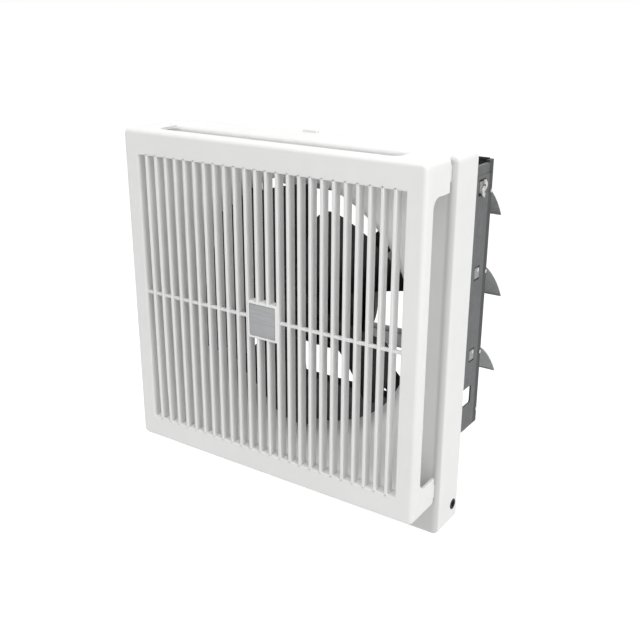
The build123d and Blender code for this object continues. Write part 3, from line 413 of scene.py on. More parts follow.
def piece_from(name, builder, body, slot, material=None, smooth=35.0):
    """A piece from a filled bmesh in millimetres, with its normals outward and its soft edges smoothed."""
    bmesh.ops.scale(builder, vec=(MM, MM, MM), verts=builder.verts)
    bmesh.ops.recalc_face_normals(builder, faces=builder.faces)
    return new_piece(name, builder, body, slot, material, smooth)


def shade(mesh, smooth):
    """Smooth shading, broken at edges sharper than an angle in degrees."""
    for face in mesh.polygons:
        face.use_smooth = True
    mesh.set_sharp_from_angle(angle=math.radians(smooth))


def settle(made, *replaced):
    """Make a piece ride its body, forget its remembered body and slot, and hide the nodes it stands for."""
    body, slot = made["body"], made["slot"]
    del made["body"]
    del made["slot"]
    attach(made, body)
    if replaced:
        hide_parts(*replaced)


def bake(made):
    """Turn a piece's modifiers into plain mesh, remove them and give the piece back."""
    bpy.context.view_layer.update()
    graph = bpy.context.evaluated_depsgraph_get()
    mesh = bpy.data.meshes.new_from_object(made.evaluated_get(graph), depsgraph=graph)
    made.modifiers.clear()
    old = made.data
    made.data = mesh
    bpy.data.meshes.remove(old)
    return made


def cut(made, cutters, crossed=False):
    """Cut other pieces out of a piece and throw them away; a crossed cutter's own parts overlap."""
    for cutter in cutters:
        modifier = made.modifiers.new("cut", "BOOLEAN")
        modifier.operation = "DIFFERENCE"
        modifier.solver = "EXACT"
        modifier.use_self = crossed
        modifier.object = cutter
    bake(made)
    for cutter in cutters:
        bpy.data.objects.remove(cutter, do_unlink=True)
    return made


def ring_surface(builder, rings, closed=False, cap_start=False, cap_end=False):
    """Quads between rings of equally many points; closed joins the last ring to the first."""
    made = [[builder.verts.new(point) for point in ring] for ring in rings]
    pairs = list(zip(made, made[1:]))
    if closed:
        pairs.append((made[-1], made[0]))
    for first, second in pairs:
        for index in range(len(first)):
            after = (index + 1) % len(first)
            builder.faces.new((first[index], first[after], second[after], second[index]))
    if cap_start:
        builder.faces.new(made[0])
    if cap_end:
        builder.faces.new(list(reversed(made[-1])))


def signs():
    """The four pairs of -1 and 1."""
    return [(a, b) for a in (-1, 1) for b in (-1, 1)]


def full_turn(steps):
    """Angles of even steps all the way round."""
    return [2 * math.pi * index / steps for index in range(steps)]


def quarter_turn(steps):
    """Angles of even steps from 0 to 90 degrees, both ends included."""
    return [math.radians(90 * index / steps) for index in range(steps + 1)]


def turned_rings(profile, steps):
    """Rings for an outline of (radius, y) points turned about the Y axis."""
    angles = full_turn(steps)
    return [[(radius * math.cos(a), y, radius * math.sin(a)) for a in angles] for radius, y in profile]


def soft_block(builder, low, high, radius, segments=2):
    """A block with all its edges rounded."""
    size = [b - a for a, b in zip(low, high)]
    middle = [(a + b) / 2 for a, b in zip(low, high)]
    place = Matrix.Translation(middle) @ Matrix.Diagonal((*size, 1.0))
    made = bmesh.ops.create_cube(builder, size=1.0, matrix=place)
    edges = list({edge for vertex in made["verts"] for edge in vertex.link_edges})
    bmesh.ops.bevel(builder, geom=edges, offset=radius, segments=segments, profile=0.5, affect="EDGES")


def rounded_loop(x_low, x_high, z_low, z_high, radius, steps=5):
    """A rounded rectangle as (x, z) points, with one more point in the middle of each side."""
    def corner(x, z, first):
        turn = [math.radians(first + 90 * index / steps) for index in range(steps + 1)]
        return [(x + radius * math.cos(a), z + radius * math.sin(a)) for a in turn]

    middle_x, middle_z = (x_low + x_high) / 2, (z_low + z_high) / 2
    loop = [(x_high, middle_z)] + corner(x_high - radius, z_high - radius, 0)
    loop += [(middle_x, z_high)] + corner(x_low + radius, z_high - radius, 90)
    loop += [(x_low, middle_z)] + corner(x_low + radius, z_low + radius, 180)
    return loop + [(middle_x, z_low)] + corner(x_high - radius, z_low + radius, 270)


def inset_loop(sides, inset, radius):
    """A rounded rectangle drawn in on all sides; sides are its lowest and highest x, then z."""
    x_low, x_high, z_low, z_high = sides
    return rounded_loop(x_low + inset, x_high - inset, z_low + inset, z_high - inset, radius)


def in_plane(loop, y):
    """A loop of (x, z) points put at a depth."""
    return [(x, y, z) for x, z in loop]


def at_x(x, loop):
    """A loop of (y, z) points put at a place along X."""
    return [(x, y, z) for y, z in loop]


# Geometry Nodes that repeat a mesh


def repeat_group(name, inputs):
    """A geometry node group with a mesh to repeat, its own inputs and a material."""
    tree = bpy.data.node_groups.new(name, "GeometryNodeTree")
    tree.interface.new_socket("Geometry", in_out="INPUT", socket_type="NodeSocketGeometry")
    for title, kind, default in inputs:
        tree.interface.new_socket(title, in_out="INPUT", socket_type=kind).default_value = default
    tree.interface.new_socket("Material", in_out="INPUT", socket_type="NodeSocketMaterial")
    tree.interface.new_socket("Geometry", in_out="OUTPUT", socket_type="NodeSocketGeometry")
    return tree, tree.nodes.new("NodeGroupInput"), tree.nodes.new("NodeGroupOutput")


def close_group(tree, start, end, points, rotation):
    """Instance the mesh on the points, make it real and give it its material."""
    instances = wire(tree, "GeometryNodeInstanceOnPoints", {
        "Points": points, "Instance": start.outputs["Geometry"], "Rotation": rotation})
    real = wire(tree, "GeometryNodeRealizeInstances", {"Geometry": instances.outputs["Instances"]})
    painted = wire(tree, "GeometryNodeSetMaterial", {
        "Geometry": real.outputs["Geometry"], "Material": start.outputs["Material"]})
    tree.links.new(painted.outputs["Geometry"], end.inputs["Geometry"])
    return tree


def even_row_group():
    """Copies along X at an even pitch."""
    tree, start, end = repeat_group("even_row", [
        ("Count", "NodeSocketInt", 24), ("First", "NodeSocketFloat", 0.0),
        ("Pitch", "NodeSocketFloat", 0.01)])
    first = wire(tree, "ShaderNodeCombineXYZ", {"X": start.outputs["First"]})
    step = wire(tree, "ShaderNodeCombineXYZ", {"X": start.outputs["Pitch"]})
    line = wire(tree, "GeometryNodeMeshLine", {
        "Count": start.outputs["Count"], "Start Location": first.outputs["Vector"],
        "Offset": step.outputs["Vector"]}, mode="OFFSET")
    return close_group(tree, start, end, line.outputs["Mesh"], (0.0, 0.0, 0.0))


def round_axis_group():
    """Copies turned about the Y axis by even steps."""
    tree, start, end = repeat_group("round_axis", [
        ("Count", "NodeSocketInt", 5), ("First Angle", "NodeSocketFloat", 0.0),
        ("Step", "NodeSocketFloat", 1.0)])
    line = wire(tree, "GeometryNodeMeshLine", {
        "Count": start.outputs["Count"], "Start Location": (0.0, 0.0, 0.0), "Offset": (0.0, 0.0, 0.0)},
        mode="OFFSET")
    index = wire(tree, "GeometryNodeInputIndex", {})
    turned = wire(tree, "ShaderNodeMath", {
        0: index.outputs["Index"], 1: start.outputs["Step"], 2: start.outputs["First Angle"]},
        operation="MULTIPLY_ADD")
    rotation = wire(tree, "ShaderNodeCombineXYZ", {"Y": turned.outputs[0]})
    return close_group(tree, start, end, line.outputs["Mesh"], rotation.outputs["Vector"])


def at_places_group():
    """Copies at the points of another object, each turned about Y by a fixed random angle."""
    tree, start, end = repeat_group("at_places", [("Seed", "NodeSocketInt", 7)])
    tree.interface.new_socket("Places", in_out="INPUT", socket_type="NodeSocketObject")
    places = wire(tree, "GeometryNodeObjectInfo", {"Object": start.outputs["Places"]})
    chance = wire(tree, "FunctionNodeRandomValue", {
        2: 0.0, 3: math.pi / 2, "Seed": start.outputs["Seed"]}, data_type="FLOAT")
    rotation = wire(tree, "ShaderNodeCombineXYZ", {"Y": chance.outputs[1]})
    return close_group(tree, start, end, places.outputs["Geometry"], rotation.outputs["Vector"])


even_row = even_row_group()
round_axis = round_axis_group()
at_places = at_places_group()


def repeated(made, group, material, **values):
    """Run a repeating group on a piece, with its inputs set by identifier, and keep the plain mesh."""
    modifier = made.modifiers.new(group.name, "NODES")
    modifier.node_group = group
    names = {item.name: item.identifier for item in group.interface.items_tree if item.in_out == "INPUT"}
    for key, value in {**values, "Material": material}.items():
        modifier[names[key.replace("_", " ")]] = value
    return bake(made)


# Grille: moulded shell, a row of slats, a recessed rib and the emblem's holder

cover_sides = (-174.0, 174.0, -169.0, 177.0)
grille_front_y, grille_rear_y = -91.0, -48.0
grille_corner = 6.5
front_rounding = 4.5
grille_wall = 2.5
face_thickness = 3.0
field_half_x, field_middle_z, field_half_z = 155.0, 4.0, 147.25
field_sides = (-field_half_x, field_half_x, field_middle_z - field_half_z, field_middle_z + field_half_z)
field_corner = 0.6
slat_depth = 9.8
slat_front_width, slat_rear_width = 3.0, 3.1
slat_nose = 0.6
slat_count = 24
slot_width = 9.52
slat_pitch = 12.52
sunk_end = 1.5
window_front_y = -78.0
window_corner = 10.0
side_window_z = (-137.0, 145.0)
top_window_x = (-139.0, 139.0)
cutter_reach = 4.0
holder_sides = (-18.0, 18.0, -16.5, 21.5)
holder_rise = 0.8
rib_depth, rib_half_z = (2.0, 6.0), 1.5
emblem_sides = (-15.4, 15.4, -13.9, 18.9)
emblem_rear_y, emblem_edge_y, emblem_front_y = -90.4, -91.0, -91.4
peg_x, peg_rise, peg_half_x, peg_half_z = 168.0, 148.0, 1.0, 4.0
peg_front_y, peg_rear_y, root_rear_y = -60.0, -34.0, -50.0
wall_root_x = 172.75
foot_x, foot_rise, foot_half_z = (171.5, 173.0), 157.0, 7.0
foot_y = (-50.0, -44.1)


def shell_ring(inset, y, radius):
    """A ring of the shell, counted in from the cover's outside."""
    return in_plane(inset_loop(cover_sides, inset, radius), y)


def field_ring(spare, y):
    """A ring round the slot field."""
    return in_plane(inset_loop(field_sides, -spare, field_corner + spare), y)


def shell_rings():
    """The shell from its rear edge over the front, into the field and back along the inside."""
    front, rear = grille_front_y, grille_rear_y
    rings = [shell_ring(0.4, rear, grille_corner - 0.4), shell_ring(0.0, rear - 0.4, grille_corner),
             shell_ring(0.0, front + front_rounding + 1.0, grille_corner)]
    for turn in quarter_turn(8):
        inset = front_rounding * (1 - math.cos(turn))
        y = front + front_rounding * (1 - math.sin(turn))
        rings.append(shell_ring(inset, y, max(grille_corner - inset, 1.5)))
    rings.append(shell_ring(front_rounding + 0.8, front, 1.5))
    rings += [field_ring(spare, front + depth) for spare, depth in (
        (1.4, 0.0), (0.6, 0.0), (0.18, 0.18), (0.0, 0.6), (0.0, slat_depth), (3.0, slat_depth),
        (3.0, face_thickness))]
    return rings + [shell_ring(grille_wall, front + face_thickness, 4.5), shell_ring(grille_wall, rear, 4.5)]


def window_cutter(across, low, high, way):
    """A cutter for one window, open at the rear and rounded in front; across is the wall's place."""
    open_y = grille_rear_y + 2
    bends = [(window_corner * (1 - math.cos(turn)), window_corner * (1 - math.sin(turn)))
             for turn in quarter_turn(8)]
    points = [(low, open_y)] + [(low + a, window_front_y + b) for a, b in bends]
    points += [(high - b, window_front_y + a) for a, b in bends] + [(high, open_y)]
    builder = bmesh.new()
    rings = []
    for place in (across - cutter_reach, across + cutter_reach):
        if way == "side":
            rings.append([(place, y, along) for along, y in points])
        else:
            rings.append([(along, y, place) for along, y in points])
    ring_surface(builder, rings, cap_start=True, cap_end=True)
    return piece_from("window_cutter", builder, "grille", "grille_plastic")


def slat_mesh():
    """One slat: a rounded nose, slightly drafted sides and a flat back."""
    half_front, half_rear = slat_front_width / 2, slat_rear_width / 2
    section = [(half_rear, grille_front_y + slat_depth)]
    for turn in quarter_turn(6):
        section.append((half_front - slat_nose * (1 - math.cos(turn)),
                        grille_front_y + slat_nose * (1 - math.sin(turn))))
    section += [(-x, y) for x, y in reversed(section)]
    ends = (field_sides[2] - sunk_end, field_sides[3] + sunk_end)
    builder = bmesh.new()
    ring_surface(builder, [[(x, y, z) for x, y in section] for z in ends], cap_start=True, cap_end=True)
    return piece_from("grille_slats", builder, "grille", "grille_plastic")


def holder_rings():
    """The emblem's holder: a raised border round a shallow seat; steps are inset, depth and corner radius."""
    front = grille_front_y - holder_rise
    steps = ((0.0, slat_depth + holder_rise, 1.4), (0.0, 0.6, 1.4), (0.15, 0.2, 1.3), (0.6, 0.0, 1.1),
             (1.8, 0.0, 0.7), (2.2, 0.4, 0.5), (2.2, 1.4, 0.5))
    return [in_plane(inset_loop(holder_sides, inset, radius), front + depth)
            for inset, depth, radius in steps]


def grille_details():
    """Rib, holder, four pegs with their roots and four feet in one mesh."""
    builder = bmesh.new()
    rib_reach = field_half_x + sunk_end
    soft_block(builder, (-rib_reach, grille_front_y + rib_depth[0], field_middle_z - rib_half_z),
               (rib_reach, grille_front_y + rib_depth[1], field_middle_z + rib_half_z), 0.6)
    ring_surface(builder, holder_rings(), cap_start=True, cap_end=True)
    for side, end in signs():
        low_z, high_z = end * peg_rise - peg_half_z, end * peg_rise + peg_half_z
        soft_block(builder, (side * peg_x - peg_half_x, peg_front_y, low_z),
                   (side * peg_x + peg_half_x, peg_rear_y, high_z), 0.4)
        root = sorted((side * peg_x, side * wall_root_x))
        soft_block(builder, (root[0], peg_front_y, low_z), (root[1], root_rear_y, high_z), 0.3)
        foot = sorted(side * x for x in foot_x)
        foot_z = field_middle_z + end * foot_rise
        soft_block(builder, (foot[0], foot_y[0], foot_z - foot_half_z),
                   (foot[1], foot_y[1], foot_z + foot_half_z), 0.3)
    return piece_from("grille_details", builder, "grille", "grille_plastic")


def joined(name, pieces, smooth=35.0):
    """One piece out of several of the same body and slot."""
    builder = bmesh.new()
    for made in pieces:
        builder.from_mesh(made.data)
    body, slot = pieces[0]["body"], pieces[0]["slot"]
    for made in pieces:
        bpy.data.objects.remove(made, do_unlink=True)
    return new_piece(name, builder, body, slot, None, smooth)


def build_grille():
    """The cover: shell with its windows, slats in an even row, and the details."""
    builder = bmesh.new()
    ring_surface(builder, shell_rings(), closed=True)
    shell = piece_from("grille_shell", builder, "grille", "grille_plastic")
    cutters = [window_cutter(across, *side_window_z, "side") for across in cover_sides[:2]]
    cutters += [window_cutter(across, *top_window_x, "top") for across in cover_sides[2:]]
    cut(shell, cutters)
    first = -field_half_x + slot_width + slat_rear_width / 2
    slats = repeated(slat_mesh(), even_row, finishes["grille_plastic"], Count=slat_count,
                     First=first * MM, Pitch=slat_pitch * MM)
    settle(joined("grille_cover", [shell, slats, grille_details()]), "front_grille")


def build_emblem():
    """Bare plate with a chamfered edge; steps are inset, depth and corner radius."""
    steps = ((0.0, emblem_rear_y, 0.8), (0.0, emblem_edge_y, 0.8), (0.2, emblem_edge_y - 0.25, 0.7),
             (1.0, emblem_front_y, 0.4))
    rings = [in_plane(inset_loop(emblem_sides, inset, radius), y) for inset, y, radius in steps]
    builder = bmesh.new()
    ring_surface(builder, rings, cap_start=True, cap_end=True)
    settle(piece_from("emblem_face", builder, "grille", "emblem_plate", smooth=20.0), "emblem_plate")


build_grille()
build_emblem()

# Propeller: five twisted blades round a hub

propeller_y = -32.5
propeller_radius = 125.0
hub_radius, hub_front_y, hub_rear_y = 30.0, -46.5, -18.5
hub_wall, hub_rounding, boss_radius, shaft_hole_radius = 3.0, 3.0, 9.0, 4.0
blade_root, blade_far = 27.0, 135.0
blade_count, blade_step = 5, -math.radians(72.0)
first_blade_angle, first_rib_angle = -math.radians(52.0), -math.radians(16.0)
blade_camber = 4.0
blade_half_thickness = 0.9
edge_width = 0.9
edge_steps = (0.0, 0.12, 0.35, 0.9)
chord_steps, radius_steps = 28, 22
root_corner_angles = (-22.0, 42.0)
tip_corner_angles = (-37.0, 17.0)
tip_corner_radii = (9.0, 16.0)
tip_corner_reach = 40.0
section_slopes = (41.0, 27.5, 15.0)
section_sweep = math.tan(math.radians(10.0))
section_share = math.sin(math.radians(32.0))


def section_half_width(distance):
    """Half the width of the blade's bent section at a distance from the axis."""
    full = blade_far * section_share + 10.0
    return full * (0.5 + 0.5 * (distance - blade_root) / (blade_far - blade_root))


def through_three(distance, first, second, third):
    """A value that passes through three known ones at the blade's root, middle and far sections."""
    t = (distance - blade_root) / (blade_far - blade_root) * 2
    return first * (t - 1) * (t - 2) / 2 - second * t * (t - 2) + third * t * (t - 1) / 2


def blade_surface(x, z):
    """The blade's mid-surface height along Y for a place seen from the front."""
    shift = through_three(x, blade_root * section_sweep, 0.0, -blade_far * section_sweep)
    slope = math.radians(through_three(x, *section_slopes))
    across = (z - shift) / math.cos(slope)
    share = across / section_half_width(x)
    arch = blade_camber * (1 - share * share)
    return propeller_y - (across * math.sin(slope) + arch * math.cos(slope))


def edge_point(side, radius):
    """Where a blade's straight edge crosses a radius."""
    start = math.radians(root_corner_angles[side])
    end = math.radians(tip_corner_angles[side])
    x0, z0 = blade_root * math.cos(start), blade_root * math.sin(start)
    x1, z1 = blade_far * math.cos(end), blade_far * math.sin(end)
    low, high = 0.0, 1.0
    for _ in range(30):
        middle = (low + high) / 2
        if math.hypot(x0 + (x1 - x0) * middle, z0 + (z1 - z0) * middle) < radius:
            low = middle
        else:
            high = middle
    return math.atan2(z0 + (z1 - z0) * low, x0 + (x1 - x0) * low)


def blade_point(radius, share, width):
    """A place on the blade with its half thickness: tip corners rounded, all edges thinned to nothing."""
    from_trailing, from_leading = share * width, (1 - share) * width
    place = radius
    for gap, corner in zip((from_trailing, from_leading), tip_corner_radii):
        if gap < corner:
            drop = corner - math.sqrt(corner ** 2 - (corner - gap) ** 2)
            place -= drop * max(0.0, (radius - (propeller_radius - tip_corner_reach)) / tip_corner_reach)
    angle = edge_point(0, place) * (1 - share) + edge_point(1, place) * share
    nearest = min(from_trailing, from_leading, propeller_radius - radius)
    lack = 1 - min(nearest / edge_width, 1.0)
    thickness = blade_half_thickness * math.sqrt(max(0.0, 1 - lack * lack))
    return place * math.cos(angle), place * math.sin(angle), thickness


def blade_rows():
    """Rows of blade points from the root to the tip, closer together along the edges."""
    inner = [index / chord_steps for index in range(1, chord_steps)]
    inside = hub_radius - 1.5
    radii = [inside + (propeller_radius - inside) * index / radius_steps for index in range(radius_steps)]
    radii += [propeller_radius - gap for gap in reversed(edge_steps)]
    rows = []
    for radius in radii:
        width = (edge_point(1, radius) - edge_point(0, radius)) * radius
        ends = [gap / width for gap in edge_steps]
        shares = ends + inner + [1 - share for share in reversed(ends)]
        rows.append([blade_point(radius, share, width) for share in shares])
    return rows


def skin_point(builder, x, z, thickness, way):
    """A vertex of one skin, lifted off the mid-surface along its normal."""
    step = 0.1
    y = blade_surface(x, z)
    slope_x = (blade_surface(x + step, z) - y) / step
    slope_z = (blade_surface(x, z + step) - y) / step
    scale = thickness * way / math.sqrt(1 + slope_x ** 2 + slope_z ** 2)
    return builder.verts.new((x - slope_x * scale, y + scale, z - slope_z * scale))


def join_rows(builder, first, second):
    """Quads between two open rows of vertices."""
    for index in range(len(first) - 1):
        builder.faces.new((first[index], first[index + 1], second[index + 1], second[index]))


def blade_mesh():
    """One blade as two skins that meet in a rounded edge."""
    rows = blade_rows()
    builder = bmesh.new()
    skins = [[[skin_point(builder, *point, way) for point in row] for row in rows] for way in (-1, 1)]
    for skin in skins:
        for first, second in zip(skin, skin[1:]):
            join_rows(builder, first, second)
    join_rows(builder, skins[0][0], skins[1][0])
    bmesh.ops.remove_doubles(builder, verts=builder.verts, dist=0.0005)
    return piece_from("propeller_blades", builder, "rotor", "propeller_plastic", smooth=60.0)


def hub_mesh():
    """Hub cup with a boss, rounded edges and a groove on its front; the outline is (radius, y) points."""
    front, rear, inside = hub_front_y, hub_rear_y, hub_radius - hub_wall
    round_start, boss_end = hub_radius - hub_rounding, hub_rear_y - 4.0
    profile = [(shaft_hole_radius, front + 0.5), (shaft_hole_radius + 0.6, front), (19.0, front),
               (19.6, front + 0.7), (21.4, front + 0.7), (22.0, front)]
    for turn in quarter_turn(6):
        profile.append((round_start + hub_rounding * math.sin(turn),
                        front + hub_rounding * (1 - math.cos(turn))))
    profile += [(hub_radius, rear - 0.5), (hub_radius - 0.5, rear), (inside + 0.4, rear),
                (inside, rear - 0.4), (inside, front + hub_wall), (boss_radius, front + hub_wall),
                (boss_radius, boss_end - 0.5), (boss_radius - 0.5, boss_end), (shaft_hole_radius, boss_end)]
    builder = bmesh.new()
    ring_surface(builder, turned_rings(profile, 80), closed=True)
    return piece_from("propeller_hub", builder, "rotor", "propeller_plastic", smooth=40.0)


def hub_rib_mesh():
    """One rib of the hub cup, pointing along X."""
    builder = bmesh.new()
    soft_block(builder, (8.0, hub_front_y + 2.0, -0.9), (28.0, hub_rear_y - 6.0, 0.9), 0.35)
    return piece_from("hub_ribs", builder, "rotor", "propeller_plastic")


def build_propeller():
    """Five blades and five ribs round one hub."""
    material = finishes["propeller_plastic"]
    blades = repeated(blade_mesh(), round_axis, material, Count=blade_count, First_Angle=first_blade_angle,
                      Step=blade_step)
    ribs = repeated(hub_rib_mesh(), round_axis, material, Count=blade_count, First_Angle=first_rib_angle,
                    Step=blade_step)
    settle(joined("propeller_moulding", [blades, hub_mesh(), ribs], smooth=50.0), "propeller")


build_propeller()

# Screws: one pan-head and one countersunk screw, each repeated at its places

thread_pitch, thread_root = 0.8, 0.86
pan_head = [(0.0, 2.0), (1.6, 1.98), (2.6, 1.8), (3.2, 1.35), (3.5, 0.7), (3.5, 0.15), (3.35, 0.0)]
sunk_head = [(0.0, 0.0), (2.85, 0.0), (3.0, -0.12), (1.75, -1.6)]
sunk_screw_length = 12.0


def cross_recess(made, reach, half_width, low_y, high_y):
    """Sink a cross into a screw's head."""
    builder = bmesh.new()
    soft_block(builder, (-reach, low_y, -half_width), (reach, high_y, half_width), 0.12, 1)
    soft_block(builder, (-half_width, low_y, -reach), (half_width, high_y, reach), 0.12, 1)
    return cut(made, [piece_from("recess_cutter", builder, "housing", "bright_steel")], crossed=True)


def threaded(radius, seat, end):
    """Outline of a thread from its seat to its end, as (radius, y) points; each ridge is one pitch long."""
    points = []
    y = seat - 0.6
    while y > end + 1.4:
        points += [(radius, y), (radius * thread_root, y - thread_pitch / 2)]
        y -= thread_pitch
    return points + [(radius * thread_root, end + 1.0), (radius * 0.4, end), (0.0, end)]


def turned_screw(name, profile):
    """A screw turned from its outline, its tip and head closed."""
    builder = bmesh.new()
    ring_surface(builder, turned_rings(profile, 28))
    bmesh.ops.remove_doubles(builder, verts=builder.verts, dist=0.001)
    return piece_from(name, builder, "housing", "bright_steel")


def pan_screw(name, radius, length):
    """Pan-head screw with its seat at y = 0, head towards +Y."""
    made = turned_screw(name, pan_head + [(radius, 0.0)] + threaded(radius, 0.0, -length))
    return cross_recess(made, reach=2.0, half_width=0.42, low_y=1.0, high_y=3.0)


def sunk_screw(name):
    """Countersunk screw with its head flush at y = 0."""
    radius, seat = sunk_head[-1]
    made = turned_screw(name, sunk_head + threaded(radius, seat, -sunk_screw_length))
    return cross_recess(made, reach=1.8, half_width=0.4, low_y=-0.9, high_y=1.0)


def place_points(name, points):
    """An object whose vertices are the screws' places."""
    mesh = bpy.data.meshes.new(name)
    mesh.from_pydata([tuple(part * MM for part in point) for point in points], [], [])
    return add_object(name, mesh)


def build_screws(screw, points, seed, node):
    """Repeat a screw at its places."""
    places = place_points(node + "_places", points)
    made = repeated(screw, at_places, finishes["bright_steel"], Seed=seed, Places=places)
    bpy.data.objects.remove(places, do_unlink=True)
    shade(made.data, 35.0)
    made["body"], made["slot"] = "housing", "bright_steel"
    settle(made, node)


duct_places = [(a * 160.0, 0.0, b * 75.0) for a, b in signs()]
duct_places += [(a * 75.0, 0.0, b * 160.0) for a, b in signs()]
build_screws(sunk_screw("duct_screw_set"), duct_places, 3, "duct_screws")
bracket_places = [(a * 119.15, -6.0, b * 119.15) for a, b in signs()]
build_screws(pan_screw("bracket_screw_set", 1.75, 12.0), bracket_places, 5, "bracket_screws")
motor_places = [(57.0 * math.cos(turn), 28.0, 57.0 * math.sin(turn)) for turn in full_turn(4)]
build_screws(pan_screw("motor_screw_set", 2.0, 9.0), motor_places, 8, "motor_screws")

# Duct: carriers and clips in the side windows, the lever, the seal on top, and the blades' hems

pivots = {"top": (85.5, 122.5), "middle": (86.5, 36.5), "lower": (87.0, -55.5)}
window_centres = {"top": (83.0, 124.0), "middle": (84.0, 33.5), "lower": (84.5, -58.5)}
window_sizes = {"top": (16.0, 17.0), "middle": (12.0, 15.0), "lower": (12.0, 15.0)}
blade_lengths = {"top": 71.5, "middle": 91.0, "lower": 87.5}
duct_inner, plate_outer = 145.0, 146.8
rest_angle = math.radians(56.0)
carrier_thickness, carrier_gap = 0.7, 0.05
clip_half_y, clip_half_z, clip_corner, clip_edge = 5.4, 5.8, 1.6, 0.4
clip_near_x, clip_far_x = duct_inner + 0.6, plate_outer + 0.2
clip_hole_radius = 2.06
lever_reach, lever_offset, lever_half_width, lever_end = 7.0, 3.5, 2.2, 9.2
lever_steps = 24
lever_pin_radius, lever_pin_x = 2.0, (146.9, 147.5)
seal_half_width, seal_front_y, seal_rear_y = 142.0, 40.0, 109.6
seal_low_z, seal_bead_z, seal_thickness = 146.0, 148.5, 1.0
blade_bulge_share = 0.121
hem_setback, hem_lift = 1.4, 0.4
hem_radius, hem_half_length = 1.1, 143.4
hem_end_radius, hem_end_half_length = 0.8, 143.7


def build_window_pieces():
    """Dark carrier plates that fill the windows, and pale clips across them with the pins' holes."""
    carriers, clips = bmesh.new(), bmesh.new()
    for side in (-1, 1):
        for name, (y, z) in window_centres.items():
            half_y, half_z = (size / 2 - carrier_gap for size in window_sizes[name])
            ends = sorted((side * duct_inner, side * (duct_inner + carrier_thickness)))
            soft_block(carriers, (ends[0], y - half_y, z - half_z), (ends[1], y + half_y, z + half_z),
                       0.15, 1)
            clip_sides = (y - clip_half_y, y + clip_half_y, z - clip_half_z, z + clip_half_z)
            outline = inset_loop(clip_sides, 0.0, clip_corner)
            soft = inset_loop(clip_sides, clip_edge, clip_corner - clip_edge)
            hole = ring_like(outline, *pivots[name], clip_hole_radius)
            near_x, edge_x, far_x = (side * x for x in (clip_near_x, clip_far_x - clip_edge, clip_far_x))
            ring_surface(clips, [at_x(near_x, hole), at_x(near_x, outline), at_x(edge_x, outline),
                                 at_x(far_x, soft), at_x(far_x, hole)], closed=True)
    settle(piece_from("window_carriers", carriers, "housing", "black_plastic"))
    settle(piece_from("window_clips", clips, "housing", "bush_plastic"), "pivot_bushes")


def ring_like(loop, y, z, radius):
    """A circle with the same number of points as a loop, each on the way to its partner."""
    points = []
    for first, second in loop:
        reach = math.hypot(first - y, second - z)
        points.append((y + (first - y) / reach * radius, z + (second - z) / reach * radius))
    return points


def build_lever():
    """S-shaped lever with rounded edges on the top blade's pin."""
    y, z = pivots["top"]
    centres = []
    for step in range(lever_steps + 1):
        share = step / lever_steps * 2 - 1
        centres.append((y + lever_offset * math.sin(math.pi * share), z + lever_reach * share))
    left, right = [], []
    for index, (a, b) in enumerate(centres):
        before, after = centres[max(index - 1, 0)], centres[min(index + 1, lever_steps)]
        step = math.dist(before, after)
        across = ((after[1] - before[1]) / step, -(after[0] - before[0]) / step)
        left.append((a - lever_half_width * across[0], b - lever_half_width * across[1]))
        right.append((a + lever_half_width * across[0], b + lever_half_width * across[1]))
    outline = right + [(y, z + lever_end)] + list(reversed(left)) + [(y, z - lever_end)]
    middle = [sum(parts) / len(outline) for parts in zip(*outline)]
    rings = []
    for x, share in ((147.3, 0.97), (147.6, 1.0), (149.0, 1.0), (149.3, 0.95)):
        rings.append([(x, middle[0] + (a - middle[0]) * share, middle[1] + (b - middle[1]) * share)
                      for a, b in outline])
    builder = bmesh.new()
    ring_surface(builder, rings, cap_start=True, cap_end=True)
    ring_surface(builder, turned_x(lever_pin_radius, *lever_pin_x, y, z, 24), cap_start=True, cap_end=True)
    settle(piece_from("s_lever", builder, "shutter_top", "bush_plastic", lever_plastic, smooth=30.0),
           "shutter_lever")


def turned_x(radius, x_low, x_high, y, z, steps):
    """Two rings of a round bar along X."""
    return [[(x, y + radius * math.cos(a), z + radius * math.sin(a)) for a in full_turn(steps)]
            for x in (x_low, x_high)]


def build_seal():
    """Felt strip on the duct's top that climbs over the rear bead; its section is (y, z) points."""
    under = [(seal_front_y, seal_low_z), (98.6, seal_low_z), (99.4, seal_bead_z), (seal_rear_y, seal_bead_z)]
    high_z, bead_high_z = seal_low_z + seal_thickness, seal_bead_z + 0.9
    above = [(seal_rear_y, bead_high_z), (98.8, bead_high_z), (98.0, high_z), (seal_front_y, high_z)]
    builder = bmesh.new()
    ring_surface(builder, [at_x(x, under + above) for x in (-seal_half_width, seal_half_width)],
                 cap_start=True, cap_end=True)
    bmesh.ops.bevel(builder, geom=builder.edges[:], offset=0.25, segments=2, profile=0.5, affect="EDGES")
    settle(piece_from("duct_seal", builder, "housing", "black_plastic", material=felt))


def build_hem(name):
    """Rolled edge along one shutter blade's free end, placed on the hanging blade and turned to rest."""
    length = blade_lengths[name]
    before, after = Vector((blade_bulge_share * length * 2 / 3, -length * 3 / 4)), Vector((0.0, -length))
    along = (after - before).normalized()
    across = Vector((-along.y, along.x))
    centre = after - hem_setback * along + hem_lift * across
    pivot_y, pivot_z = pivots[name]
    y = pivot_y + centre.x * math.cos(rest_angle) - centre.y * math.sin(rest_angle)
    z = pivot_z + centre.x * math.sin(rest_angle) + centre.y * math.cos(rest_angle)
    low, high = turned_x(hem_radius, -hem_half_length, hem_half_length, y, z, 16)
    end_low, end_high = turned_x(hem_end_radius, -hem_end_half_length, hem_end_half_length, y, z, 16)
    builder = bmesh.new()
    ring_surface(builder, [end_low, low, high, end_high], cap_start=True, cap_end=True)
    settle(piece_from(f"hem_{name}", builder, f"shutter_{name}", "shutter_sheet"))


build_window_pieces()
build_lever()
build_seal()
for blade_name in blade_lengths:
    build_hem(blade_name)

